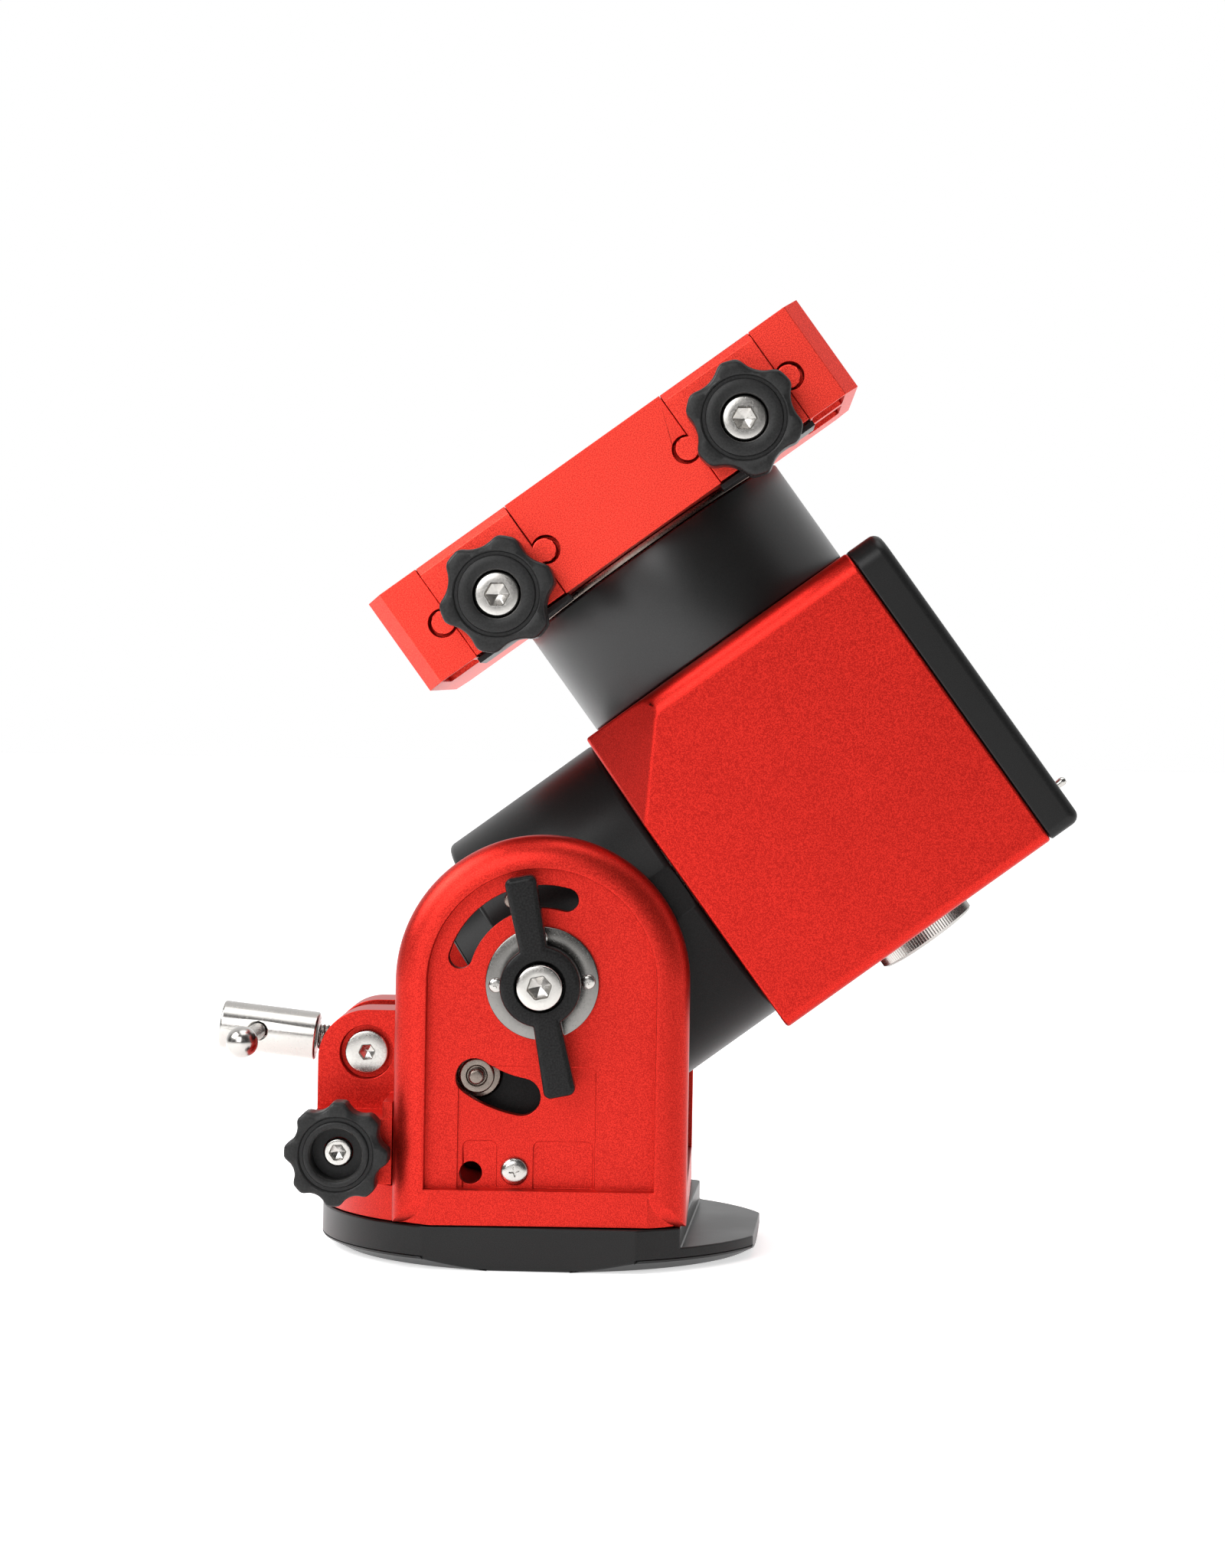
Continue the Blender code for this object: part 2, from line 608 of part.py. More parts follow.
# ---------------------------------------------------------------- hand screws
def build_azimuth_screw(name, side, frame):
    """Pad, threaded screw and hand knob of one azimuth screw; side is -1 near, +1 far."""
    post_y = -AZIMUTH_X * sin(radians(-BASE_YAW))
    tip = abs(side * POST_RADIUS + post_y) + GAP
    centre = (AZIMUTH_X, 0, AZIMUTH_Z)
    low, high = sorted((side * tip, side * (tip + 2)))
    pad = add_object("azimuth_pad_" + name, rod_mesh("pad", 3.4, low, high, "Y", segments=20),
                     frame, centre, "dark_steel")
    smooth(pad)
    back = tip + AZIMUTH_SCREW_LENGTH
    low, high = sorted((side * (tip + 2 + GAP), side * (back + 4.5)))
    screw = add_object("azimuth_screw_" + name,
                       rod_mesh("screw", AZIMUTH_SCREW_RADIUS, low, high, "Y", segments=16),
                       frame, centre, "stainless")
    hex_socket = rod_mesh("cut", 2.3, *sorted((side * (back + 1.5), side * (back + 9))), "Y", segments=6)
    cut(screw, add_object("cut_hex", hex_socket, frame, centre))
    outline = star_outline((0, 0), AZIMUTH_KNOB_RADIUS, 8, 1.9, -2.5)
    low, high = sorted((side * back, side * (back + AZIMUTH_KNOB_DEPTH)))
    knob = add_object("azimuth_knob_" + name, outline_mesh("knob", outline, low, high, "XZ"),
                      frame, centre, "black_plastic")
    bore = rod_mesh("cut", AZIMUTH_SCREW_RADIUS + GAP, -80, 80, "Y", segments=16)
    cut(knob, add_object("cut_knob_bore", bore, frame, centre))
    recess = rod_mesh("cut", 7.5, *sorted((side * (back + 2.5), side * (back + 20))), "Y", segments=32)
    cut(knob, add_object("cut_knob_recess", recess, frame, centre))


def lever_outline(turn):
    """Two-armed clamp lever about its own axis, in the XZ plane."""
    half = LEVER_HALF_LENGTH
    hub = LEVER_HUB_RADIUS
    root, tip = 3.9, 4.6
    start = degrees(asin(root / hub))
    right = arc((0, 0), hub, -90 + start, 90 - start, 8)
    left = arc((0, 0), hub, 90 + start, 270 - start, 8)
    top = [(root, 14), (tip, half - 1.5), (tip - 1.5, half), (1.5 - tip, half), (-tip, half - 1.5), (-root, 14)]
    bottom = [(-x, -z) for x, z in top]
    spin = Matrix.Rotation(radians(turn), 2)
    return [tuple(spin @ Vector(point)) for point in right + top + left + bottom]


def build_clamp(name, side, frame):
    """Clamp disc, lever and its screw on one side of the altitude axis."""
    def span(first, second):
        return sorted((side * first, side * second))

    low, high = span(PLATE_POCKET_Y + GAP, PLATE_POCKET_Y + 2.0)
    disc = add_object("clamp_disc_" + name, rod_mesh("disc", CLAMP_DISC_RADIUS, low, high, "Y", segments=32),
                      frame, material="stainless")
    hole = rod_mesh("cut", STUB_RADIUS + 0.5, -80, 80, "Y")
    cut(disc, add_object("cut_disc_hole", hole, frame))
    smooth(disc)

    low, high = span(57.6, LEVER_OUTER_Y)
    lever = add_object("clamp_lever_" + name,
                       outline_mesh("lever", lever_outline(LEVER_TILT), low, high, "XZ"),
                       frame, material="black_plastic")
    cut(lever, add_object("cut_lever_bore", rod_mesh("cut", 4.3, -80, 80, "Y", segments=16), frame))
    counterbore = rod_mesh("cut", 7.3, *span(64.5, 80), "Y")
    cut(lever, add_object("cut_lever_counterbore", counterbore, frame))
    for direction in (-1, 1):
        under = box_mesh("cut", (-8, span(50, LEVER_ARM_Y)[0], 12.5 * direction if direction > 0 else -40),
                         (8, span(50, LEVER_ARM_Y)[1], 40 if direction > 0 else -12.5))
        under.transform(Matrix.Rotation(-radians(LEVER_TILT), 4, "Y"))
        cut(lever, add_object("cut_lever_under", under, frame))

    low, high = span(64.8, 72.5)
    screw = add_object("clamp_screw_" + name, rod_mesh("screw", 6.5, low, high, "Y", segments=32),
                       frame, material="stainless")
    shank = rod_mesh("join", 3.9, *span(50.0, 65.5), "Y", segments=16)
    fuse(screw, add_object("join_shank", shank, frame))
    hex_socket = rod_mesh("cut", 3.5, *span(68.5, 78), "Y", segments=6)
    cut(screw, add_object("cut_hex", hex_socket, frame))


def build_adjuster(pivot_frame):
    """Pivot block, adjusting screw, its handle and the sliding tommy bar.

    The pivot frame's +X runs from the trunnion through the ear pivot to the handle.
    """
    block = add_object("pivot_block", rod_mesh("pivot_block", BLOCK_RADIUS, -7.7, 7.7, "Y", segments=32),
                       pivot_frame, material="dark_steel")
    bore = rod_mesh("cut", BLOCK_BORE, -20, 20, "X", segments=16)
    cut(block, add_object("cut_block_bore", bore, pivot_frame))
    reach = hypot(*pivot_to_trunnion())
    screw = add_object("adjuster_screw",
                       rod_mesh("adjuster_screw", ADJUSTER_RADIUS, -reach - ADJUSTER_PAST, HANDLE_START - GAP, "X",
                                segments=16), pivot_frame, material="stainless")
    smooth(screw)
    end = HANDLE_START + HANDLE_LENGTH
    handle = turned("adjuster_handle", pivot_frame, [
        (0, end), (6.4, end), (HANDLE_RADIUS, end - 0.8), (HANDLE_RADIUS, HANDLE_START + 0.8),
        (6.4, HANDLE_START), (0, HANDLE_START)], "stainless", axis="X", steps=24)
    cross = rod_mesh("cut", TOMMY_RADIUS + GAP, -20, 20, "Y", (TOMMY_FROM_PIVOT, 0, 0), 20)
    cut(handle, add_object("cut_handle_hole", cross, pivot_frame))
    far_y = TOMMY_NEAR_Y + TOMMY_SPAN
    bar = add_object("tommy_bar", rod_mesh("tommy_bar", TOMMY_RADIUS, TOMMY_NEAR_Y, far_y, "Y", segments=20),
                     pivot_frame, (TOMMY_FROM_PIVOT, 0, 0), "stainless")
    for y in (TOMMY_NEAR_Y, far_y):
        mesh = bpy.data.meshes.new("ball")
        shape = bmesh.new()
        bmesh.ops.create_uvsphere(shape, u_segments=12, v_segments=8, radius=TOMMY_BALL_RADIUS * MM)
        bmesh.ops.translate(shape, vec=(0, y * MM, 0), verts=shape.verts)
        shape.to_mesh(mesh)
        shape.free()
        fuse(bar, add_object("join_ball", mesh, pivot_frame, (TOMMY_FROM_PIVOT, 0, 0)))


# ---------------------------------------------------------------- altitude body
def trunnion_point():
    """The trunnion's centre in the world XZ plane."""
    return polar((0, ALTITUDE_Z), TRUNNION_REACH, TRUNNION_ANGLE)


def pivot_to_trunnion():
    x, z = trunnion_point()
    return (x - PIVOT_X, z - PIVOT_Z)


def build_trunnion(frame):
    turned("trunnion", frame, [
        (0, 55.4), (3.4, 55.4), (TRUNNION_PIN_RADIUS, 54.6), (TRUNNION_PIN_RADIUS, 48), (6.5, 48),
        (6.5, 14), (9.5, 14), (9.5, -14), (6.5, -14), (6.5, -48), (TRUNNION_PIN_RADIUS, -48),
        (TRUNNION_PIN_RADIUS, -54.6), (3.4, -55.4), (0, -55.4)], "dark_steel", axis="Y", steps=20)
    trunnion = PARTS.objects["trunnion"]
    bore = rod_mesh("cut", ADJUSTER_RADIUS + GAP, -20, 20, "X", segments=16)
    cut(trunnion, add_object("cut_trunnion_bore", bore, frame))


def build_altitude(alt_frame, ra_frame):
    turned("ra_housing", ra_frame, [
        (RA_BORE, RA_FRONT), (RA_RADIUS, RA_FRONT), (RA_RADIUS, RA_REAR + 2.0),
        (RA_RADIUS - 2.0, RA_REAR), (RA_BORE, RA_REAR)], "black_anodised", axis="X",
        ring=True, steps=48)
    housing = PARTS.objects["ra_housing"]
    for side in (-1, 1):
        low, high = sorted((side * RA_FLAT_Y, side * 60))
        flat = box_mesh("cut", (-10, low, -RA_FLAT_HALF), (60, high, RA_FLAT_HALF))
        cut(housing, add_object("cut_housing_flat", flat, ra_frame))

    turned("rear_frame", ra_frame, [
        (0, 0), (RA_BORE - GAP, 0), (RA_BORE - GAP, RA_REAR - GAP), (REAR_RADIUS, RA_REAR - GAP),
        (REAR_RADIUS, REAR_END + 1), (REAR_RADIUS - 1, REAR_END), (0, REAR_END)],
        "black_anodised", axis="X", steps=36)
    rear = PARTS.objects["rear_frame"]
    x, z = trunnion_point()
    offset = Matrix.Rotation(-radians(ELEVATION), 2) @ Vector((x, z - ALTITUDE_Z))
    trunnion_a, trunnion_n = offset.x, offset.y + RA_DROP
    lug = [(LUG_FRONT, LUG_LOW), (LUG_FRONT, LUG_HIGH)]
    lug += arc((trunnion_a, trunnion_n), LUG_RADIUS, 110, 250, 6) + [LUG_CORNER]
    for side in (-1, 1):
        low, high = sorted((side * LUG_INNER_Y, side * LUG_OUTER_Y))
        fuse(rear, add_object("join_lug", outline_mesh("lug", lug, low, high, "XZ"), ra_frame))
    bore = rod_mesh("cut", 6.5 + GAP, -60, 60, "Y", (trunnion_a, 0, trunnion_n), 24)
    cut(rear, add_object("cut_lug_bore", bore, ra_frame))

    for name, side in (("near", -1), ("far", 1)):
        low, high = sorted((side * (RA_FLAT_Y + GAP), side * 56.4))
        stub = add_object("altitude_stub_" + name, rod_mesh("stub", STUB_RADIUS, low, high, "Y"),
                          alt_frame, material="stainless")
        smooth(stub)
        cut(stub, add_object("cut_stub_bore", rod_mesh("cut", 4.3, -80, 80, "Y", segments=16), alt_frame))
    pin_x, pin_z = polar((0, 0), 25.3, LIMIT_PIN_ANGLE)
    pin = rod_mesh("limit_pin", LIMIT_PIN_RADIUS, -53.6, -43.6, "Y", segments=20)
    smooth(add_object("latitude_limit_pin", pin, alt_frame, (pin_x, 0, pin_z), "dark_steel"))


# ---------------------------------------------------------------- strain-wave drives
def build_drive(prefix, frame, axis, start, fixed_radius, flange_radius, flange_from, flange_to):
    """Stepper motor, circular spline, wave generator and flexspline cup on one axis.

    start is where the splines begin; the motor sits behind and the flange ahead.
    """
    half = MOTOR_SIDE / 2
    back, front = start - 32, start - 4
    if axis == "X":
        body = box_mesh("motor", (back, -half, -half), (front, half, half))
    else:
        body = box_mesh("motor", (-half, -half, back), (half, half, front))
    motor = add_object(prefix + "_motor", body, frame, material="dark_steel")
    shaft = rod_mesh("join", 2.5, front - 1, start + 9, axis, segments=16)
    fuse(motor, add_object("join_shaft", shaft, frame))
    turned(prefix + "_circular_spline", frame, [
        (FLEX_OUTER + GAP, start + 12), (fixed_radius, start + 12), (fixed_radius, start),
        (FLEX_OUTER + GAP, start)], "stainless", axis=axis, ring=True, steps=28)
    turned(prefix + "_wave_generator", frame, [
        (2.5 + GAP, start + 10), (FLEX_INNER - GAP, start + 10), (FLEX_INNER - GAP, start + 2),
        (2.5 + GAP, start + 2)], "stainless", axis=axis, ring=True, steps=24)
    turned(prefix + "_flexspline", frame, [
        (FLEX_INNER, flange_to), (flange_radius, flange_to), (flange_radius, flange_from),
        (FLEX_OUTER, flange_from), (FLEX_OUTER, start + 0.5), (FLEX_INNER, start + 0.5)],
        "dark_steel", axis=axis, ring=True, steps=28)


# ---------------------------------------------------------------- drive head
def head_outline(inset=0.0):
    """Head cross-section in the Y-N plane: large rounds on top, small ones below."""
    half_y = HEAD_HALF_Y - inset
    half_n = HEAD_HALF_N - inset
    top = max(HEAD_TOP_ROUND - inset, 0.8)
    low = max(HEAD_BOTTOM_ROUND - inset, 0.8)
    points = arc((half_y - top, half_n - top), top, 0, 90, 3)
    points += arc((top - half_y, half_n - top), top, 90, 180, 3)
    points += arc((low - half_y, low - half_n), low, 180, 270, 3)
    points += arc((half_y - low, low - half_n), low, 270, 360, 3)
    return points


def facet_tool(frame, side, inset, name):
    """Block that takes the head's corner off beyond the slanted facet plane."""
    normal = Vector((-1 / FACET_ALONG, side / FACET_ACROSS, 1 / FACET_DOWN))
    corner = Vector((HEAD_START + FACET_ALONG, side * HEAD_HALF_Y, HEAD_HALF_N))
    point = corner - normal.normalized() * inset
    return add_object(name, half_space_mesh("facet", point, normal, 90), frame)


def build_head(frame):
    shell = add_object("head_shell", outline_mesh("head_shell", head_outline(), HEAD_START, HEAD_SEAM, "YZ"),
                       frame, material="red_anodised")
    inner = outline_mesh("cut", head_outline(HEAD_WALL), HEAD_START + HEAD_WALL, HEAD_SEAM + 5, "YZ")
    cavity = add_object("cut_head_cavity", inner, frame)
    for side in (-1, 1):
        cut(cavity, facet_tool(frame, side, HEAD_WALL, "cut_cavity_facet"))
    cut(shell, cavity)
    for side in (-1, 1):
        cut(shell, facet_tool(frame, side, 0.0, "cut_head_facet"))
    wall = HEAD_START + HEAD_WALL + 2
    cut(shell, add_object("cut_ra_hole", rod_mesh("cut", FLEX_OUTER + 0.4, HEAD_START - 5, wall, "X"), frame))
    dec_hole = rod_mesh("cut", 36, HEAD_HALF_N - 8, HEAD_HALF_N + 5, "Z", (DEC_ALONG, 0, 0), 32)
    cut(shell, add_object("cut_dec_hole", dec_hole, frame))
    weight_hole = rod_mesh("cut", 6.4, -HEAD_HALF_N - 5, -HEAD_HALF_N + 8, "Z", (DEC_ALONG, 0, 0), 24)
    cut(shell, add_object("cut_weight_hole", weight_hole, frame))

    start = HEAD_SEAM + GAP
    sections = []
    for along, inset in ((start, 0.0), (HEAD_END - 3.0, 0.0), (HEAD_END - 1.5, 0.4),
                         (HEAD_END - 0.4, 1.5), (HEAD_END, 3.0)):
        sections.append([(along, y, n) for y, n in head_outline(inset)])
    cover = add_object("head_cover", loft_mesh("head_cover", sections), frame, material="black_anodised")
    hollow = outline_mesh("cut", head_outline(HEAD_WALL + 1), start - 3, HEAD_END - 4.5, "YZ")
    cut(cover, add_object("cut_cover_hollow", hollow, frame))
    face = HEAD_END + 4
    for y, n, radius in ((SWITCH_Y, SWITCH_N, 2.6), (INLET_Y, INLET_N, 5.9)):
        cut(cover, add_object("cut_cover_hole", rod_mesh("cut", radius, face - 14, face, "X", (0, y, n), 24), frame))
    port = box_mesh("cut", (face - 14, PORT_Y - 8.3, PORT_N - 6.3), (face, PORT_Y + 8.3, PORT_N + 6.3))
    cut(cover, add_object("cut_cover_port", port, frame))

    turned("power_inlet", frame, [
        (3.0, HEAD_END - 0.3), (5.6, HEAD_END - 0.3), (5.6, HEAD_END - 8.5), (1.0, HEAD_END - 8.5),
        (1.0, HEAD_END - 6.5), (3.0, HEAD_END - 6.5)], "black_plastic", axis="X",
        location=(0, INLET_Y, INLET_N), ring=True, steps=14)
    socket = box_mesh("guide_port", (HEAD_END - 9, PORT_Y - 8, PORT_N - 6), (HEAD_END - 0.4, PORT_Y + 8, PORT_N + 6))
    guide = add_object("guide_port", socket, frame, material="black_plastic")
    mouth = box_mesh("cut", (HEAD_END - 7, PORT_Y - 6, PORT_N - 4.2), (HEAD_END + 3, PORT_Y + 6, PORT_N + 4.2))
    cut(guide, add_object("cut_port_mouth", mouth, frame))
    board = box_mesh("control_board", (127, -36, -30), (128.6, 36, 38))
    add_object("control_board", board, frame, material="circuit_green")


def build_switch(frame):
    turned("power_switch", frame, [
        (0, 6.0), (0.9, 5.8), (1.5, 4.6), (1.1, 0), (1.6, -2.0), (0, -2.0)],
        "stainless", axis="X", steps=16)


def build_weight_cap(frame):
    """Knurled cap on the counterweight-bar hole; the frame's Z is the DEC axis."""
    top = -HEAD_HALF_N - GAP
    teeth = 30
    outline = []
    for step in range(2 * teeth):
        radius = 15.9 if step % 2 else 15.4
        outline.append(polar((0, 0), radius, 180 * step / teeth))
    cap = add_object("counterweight_cap", outline_mesh("cap", outline, top - 6.4, top), frame,
                     material="stainless")
    fuse(cap, add_object("join_stem", rod_mesh("join", 6.0, top - 1, top + 9, segments=16), frame))


def build_dec_housing(frame):
    base = HEAD_HALF_N + GAP
    turned("dec_housing", frame, [
        (DEC_BORE, DEC_TOP), (DEC_RADIUS - 0.6, DEC_TOP), (DEC_RADIUS, DEC_TOP - 0.6),
        (DEC_RADIUS, base), (DEC_BORE, base)], "black_anodised", ring=True, steps=48)


# ---------------------------------------------------------------- saddle
def build_saddle(frame):
    half, side = SADDLE_HALF_LENGTH, SADDLE_HALF_Y
    end, depth = SADDLE_END_CUT, SADDLE_SIDE_CUT
    outline = [(half, depth - side), (half, side - depth), (half - end, side), (end - half, side),
               (-half, side - depth), (-half, depth - side), (end - half, -side), (half - end, -side)]
    body = add_object("saddle_body", outline_mesh("saddle_body", outline, SADDLE_BOTTOM, SADDLE_TOP),
                      frame, material="red_anodised")
    foot, mouth = CHANNEL_FOOT_Y, CHANNEL_MOUTH_Y
    channel = [(-foot, CHANNEL_FLOOR), (foot, CHANNEL_FLOOR), (mouth, SADDLE_TOP + GAP),
               (mouth, SADDLE_TOP + CLEAR), (-mouth, SADDLE_TOP + CLEAR), (-mouth, SADDLE_TOP + GAP)]
    foot, mouth = GROOVE_FOOT_Y, GROOVE_MOUTH_Y
    groove = [(-foot, GROOVE_FLOOR), (foot, GROOVE_FLOOR), (mouth, CHANNEL_FLOOR + 1), (-mouth, CHANNEL_FLOOR + 1)]
    cuts = [channel, groove]
    for y in (-1, 1):
        inner, outer = sorted((y * LEDGE_EDGE_Y, y * CHANNEL_FOOT_Y))
        cuts.append([(inner, CHANNEL_FLOOR - CORNER_RELIEF), (outer, CHANNEL_FLOOR - CORNER_RELIEF),
                     (outer, CHANNEL_FLOOR + 1), (inner, CHANNEL_FLOOR + 1)])
    for points in cuts:
        cut(body, add_object("cut_channel", outline_mesh("cut", points, -half - 5, half + 5, "YZ"), frame))
    wide = JAW_HALF + GAP
    for centre in (-JAW_OFFSET, JAW_OFFSET):
        pocket = box_mesh("cut", (centre - wide, -side - 5, SADDLE_BOTTOM - 5),
                          (centre + wide, -JAW_INNER_Y + GAP, SADDLE_TOP + 5))
        cut(body, add_object("cut_jaw_pocket", pocket, frame))
        lip = box_mesh("cut", (centre - wide, -side - 4, CHANNEL_FLOOR + 4),
                       (centre + wide, -JAW_LIP_Y + 0.6, SADDLE_TOP + 4))
        cut(body, add_object("cut_jaw_lip", lip, frame))
        for key in (centre - KEY_OFFSET, centre + KEY_OFFSET):
            hole = rod_mesh("cut", KEY_RADIUS + KEY_CLEARANCE, -side - 5, -KEY_INNER_Y + GAP, "Y", (key, 0, KEY_N), 24)
            cut(body, add_object("cut_key", hole, frame))
        bore = rod_mesh("cut", 4.3, -side, -25, "Y", (centre, 0, KNOB_N), 24)
        cut(body, add_object("cut_clamp_bore", bore, frame))
    pockets = [((-half + 4.5, -53.3), (-half + 15.5, -17)), ((half - 16, -53.3), (half - 4.5, -17)),
               ((half - 16, -9), (half - 4.5, 27))]
    for (low_a, low_y), (high_a, high_y) in pockets:
        relief = box_mesh("cut", (low_a, low_y, SADDLE_BOTTOM - 5), (high_a, high_y, SADDLE_BOTTOM + 6))
        cut(body, add_object("cut_relief", relief, frame))

    for name, centre in (("left", -JAW_OFFSET), ("right", JAW_OFFSET)):
        keeper = box_mesh("keeper", (centre - 16.2, -52, DEC_TOP + 0.5), (centre + 16.2, -28, SADDLE_BOTTOM - GAP))
        plate = add_object("jaw_keeper_" + name, keeper, frame, material="black_anodised")
        clear = rod_mesh("cut", DEC_RADIUS + GAP, DEC_TOP - 5, SADDLE_TOP, segments=56)
        cut(plate, add_object("cut_keeper_round", clear, frame))


def build_jaw(name, frame):
    """One sliding clamp jaw; the frame sits on its clamp screw's axis."""
    section = [(-JAW_OUTER_Y, SADDLE_BOTTOM + GAP - KNOB_N), (-JAW_INNER_Y, SADDLE_BOTTOM + GAP - KNOB_N),
               (-JAW_INNER_Y, CHANNEL_FLOOR - KNOB_N), (-38.3, CHANNEL_FLOOR - KNOB_N + 0.1),
               (-33.6, SADDLE_TOP - KNOB_N - 0.3), (-33.6, SADDLE_TOP - KNOB_N),
               (-JAW_OUTER_Y + 2.6, SADDLE_TOP - KNOB_N), (-JAW_OUTER_Y, SADDLE_TOP - KNOB_N - 2.4)]
    jaw = add_object("clamp_jaw_" + name, outline_mesh("jaw", section, -JAW_HALF, JAW_HALF, "YZ"),
                     frame, material="red_anodised")
    for key in (-KEY_OFFSET, KEY_OFFSET):
        tab = rod_mesh("join", KEY_RADIUS, -JAW_OUTER_Y, -KEY_INNER_Y, "Y", (key, 0, KEY_N - KNOB_N), 24)
        fuse(jaw, add_object("join_key", tab, frame))
    cut(jaw, add_object("cut_jaw_bore", rod_mesh("cut", 4.3, -70, -20, "Y", segments=16), frame))


def build_knob(name, turn, frame):
    outline = star_outline((0, 0), KNOB_RADIUS, 6, 2.6, turn)
    knob = add_object("clamp_knob_" + name,
                      outline_mesh("knob", outline, -KNOB_FRONT_Y, -KNOB_BACK_Y, "XZ"),
                      frame, material="black_plastic")
    recess = rod_mesh("cut", 6.9, -KNOB_FRONT_Y - 5, -64.2, "Y")
    cut(knob, add_object("cut_knob_recess", recess, frame))
    cut(knob, add_object("cut_knob_bore", rod_mesh("cut", 4.3, -80, -20, "Y", segments=16), frame))
    screw = add_object("clamp_knob_screw_" + name, rod_mesh("screw", 6.4, -72.0, -64.5, "Y"),
                       frame, material="stainless")
    fuse(screw, add_object("join_shank", rod_mesh("join", 3.9, -65, -27, "Y", segments=16), frame))
    cut(screw, add_object("cut_hex", rod_mesh("cut", 3.5, -78, -68.5, "Y", segments=6), frame))


# ---------------------------------------------------------------- assembly
def build_all():
    base = make_frame("frame_base", (0, 0, 0), (0, 0, BASE_YAW))
    build_base(base)

    fork = make_frame("frame_azimuth", (0, 0, 0))
    build_fork(fork)
    build_adjuster_bracket(fork)
    build_azimuth_screw("near", -1, fork)
    build_azimuth_screw("far", 1, fork)

    altitude = make_frame("frame_altitude", (0, 0, ALTITUDE_Z), parent=fork)
    build_clamp("near", -1, altitude)
    build_clamp("far", 1, altitude)

    run_x, run_z = pivot_to_trunnion()
    slope = degrees(atan2(run_z, run_x))
    pivot = make_frame("frame_ear_pivot", (PIVOT_X, 0, PIVOT_Z), (0, 180 - slope, 0), parent=fork)
    build_adjuster(pivot)
    x, z = trunnion_point()
    build_trunnion(make_frame("frame_trunnion", (x, 0, z - ALTITUDE_Z), (0, 180 - slope, 0), parent=altitude))

    tilt = radians(ELEVATION)
    ra = make_frame("frame_ra", (RA_DROP * sin(tilt), 0, -RA_DROP * cos(tilt)), (0, -ELEVATION, 0),
                    parent=altitude)
    build_altitude(altitude, ra)
    build_drive("ra", ra, "X", 33, RA_BORE - GAP, 33.0, HEAD_START + HEAD_WALL + GAP, 56.1)
    build_head(ra)
    build_switch(make_frame("frame_switch", (HEAD_END - 1.5, SWITCH_Y, SWITCH_N), parent=ra))

    dec = make_frame("frame_dec", (DEC_ALONG, 0, 0), parent=ra)
    build_dec_housing(dec)
    build_weight_cap(dec)
    build_drive("dec", dec, "Z", 58, DEC_BORE - GAP, DEC_FLANGE_RADIUS, DEC_TOP + GAP, SADDLE_BOTTOM - GAP)
    build_saddle(dec)
    for name, centre, turn in (("left", -JAW_OFFSET, 44.0), ("right", JAW_OFFSET, 11.0)):
        clamp = make_frame("frame_clamp_" + name, (centre, 0, KNOB_N), parent=dec)
        build_jaw(name, clamp)
        build_knob(name, turn, clamp)
    bpy.context.view_layer.update()


clear_scene()
PARTS = make_collection("equatorial_mount")
CUTTERS = make_collection("cutters")
MATERIALS = {name: make_material(name) for name in COLOURS}
build_all()
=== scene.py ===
"""Looks of the equatorial mount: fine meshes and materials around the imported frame.

Every shape is drawn in millimetres in the local frame of the axis that it belongs to,
and the local frames come from the frame's joints.
"""
import json
from math import acos, asin, cos, degrees, pi, radians, sin, tan

import bmesh
import bpy
from mathutils import Matrix, Vector


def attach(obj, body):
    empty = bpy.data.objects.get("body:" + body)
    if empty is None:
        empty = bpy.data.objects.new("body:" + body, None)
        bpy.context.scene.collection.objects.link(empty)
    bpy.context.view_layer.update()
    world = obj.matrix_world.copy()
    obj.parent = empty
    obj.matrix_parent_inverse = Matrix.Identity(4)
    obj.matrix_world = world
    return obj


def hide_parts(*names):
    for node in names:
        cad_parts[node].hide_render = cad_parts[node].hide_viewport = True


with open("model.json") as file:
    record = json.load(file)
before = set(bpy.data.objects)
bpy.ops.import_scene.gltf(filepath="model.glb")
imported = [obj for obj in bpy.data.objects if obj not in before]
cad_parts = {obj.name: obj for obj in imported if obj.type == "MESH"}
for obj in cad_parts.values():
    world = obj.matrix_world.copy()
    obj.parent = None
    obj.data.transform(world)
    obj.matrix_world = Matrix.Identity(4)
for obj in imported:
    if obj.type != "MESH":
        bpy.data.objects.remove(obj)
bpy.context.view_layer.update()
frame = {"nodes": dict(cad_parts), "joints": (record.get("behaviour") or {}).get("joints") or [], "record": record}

MM = 0.001
SIDES = ((-1, "near"), (1, "far"))
JOINTS = {joint["name"]: joint for joint in frame["joints"]}


# ----- local frames
def joint_frame(name, x_axis):
    """A frame at a joint's position with the given X direction and the mount's Y."""
    x = Vector(x_axis).normalized()
    y = Vector((0.0, 1.0, 0.0))
    turn = Matrix((x, y, x.cross(y))).transposed().to_4x4()
    return Matrix.Translation(Vector(JOINTS[name]["pos_m"])) @ turn


POLAR_AXIS = JOINTS["ra_axis"]["axis"]
SCREW_AXIS = JOINTS["adjuster_spin"]["axis"]
BASE_YAW = -2.4
BASE = Matrix.Rotation(radians(BASE_YAW), 4, "Z")
FORK = Matrix.Identity(4)
ALT = joint_frame("latitude_tilt", (1, 0, 0))
HEAD = joint_frame("ra_axis", POLAR_AXIS)
DEC = joint_frame("dec_axis", POLAR_AXIS)
PIVOT = joint_frame("pivot_block_turn", SCREW_AXIS)
TRUNNION = joint_frame("trunnion_turn", SCREW_AXIS)
LEFT = joint_frame("left_knob_spin", POLAR_AXIS)
RIGHT = joint_frame("right_knob_spin", POLAR_AXIS)
SWITCH = joint_frame("switch_tilt", POLAR_AXIS)
NEAR_SCREW = joint_frame("near_azimuth_spin", (1, 0, 0))
FAR_SCREW = joint_frame("far_azimuth_spin", (1, 0, 0))


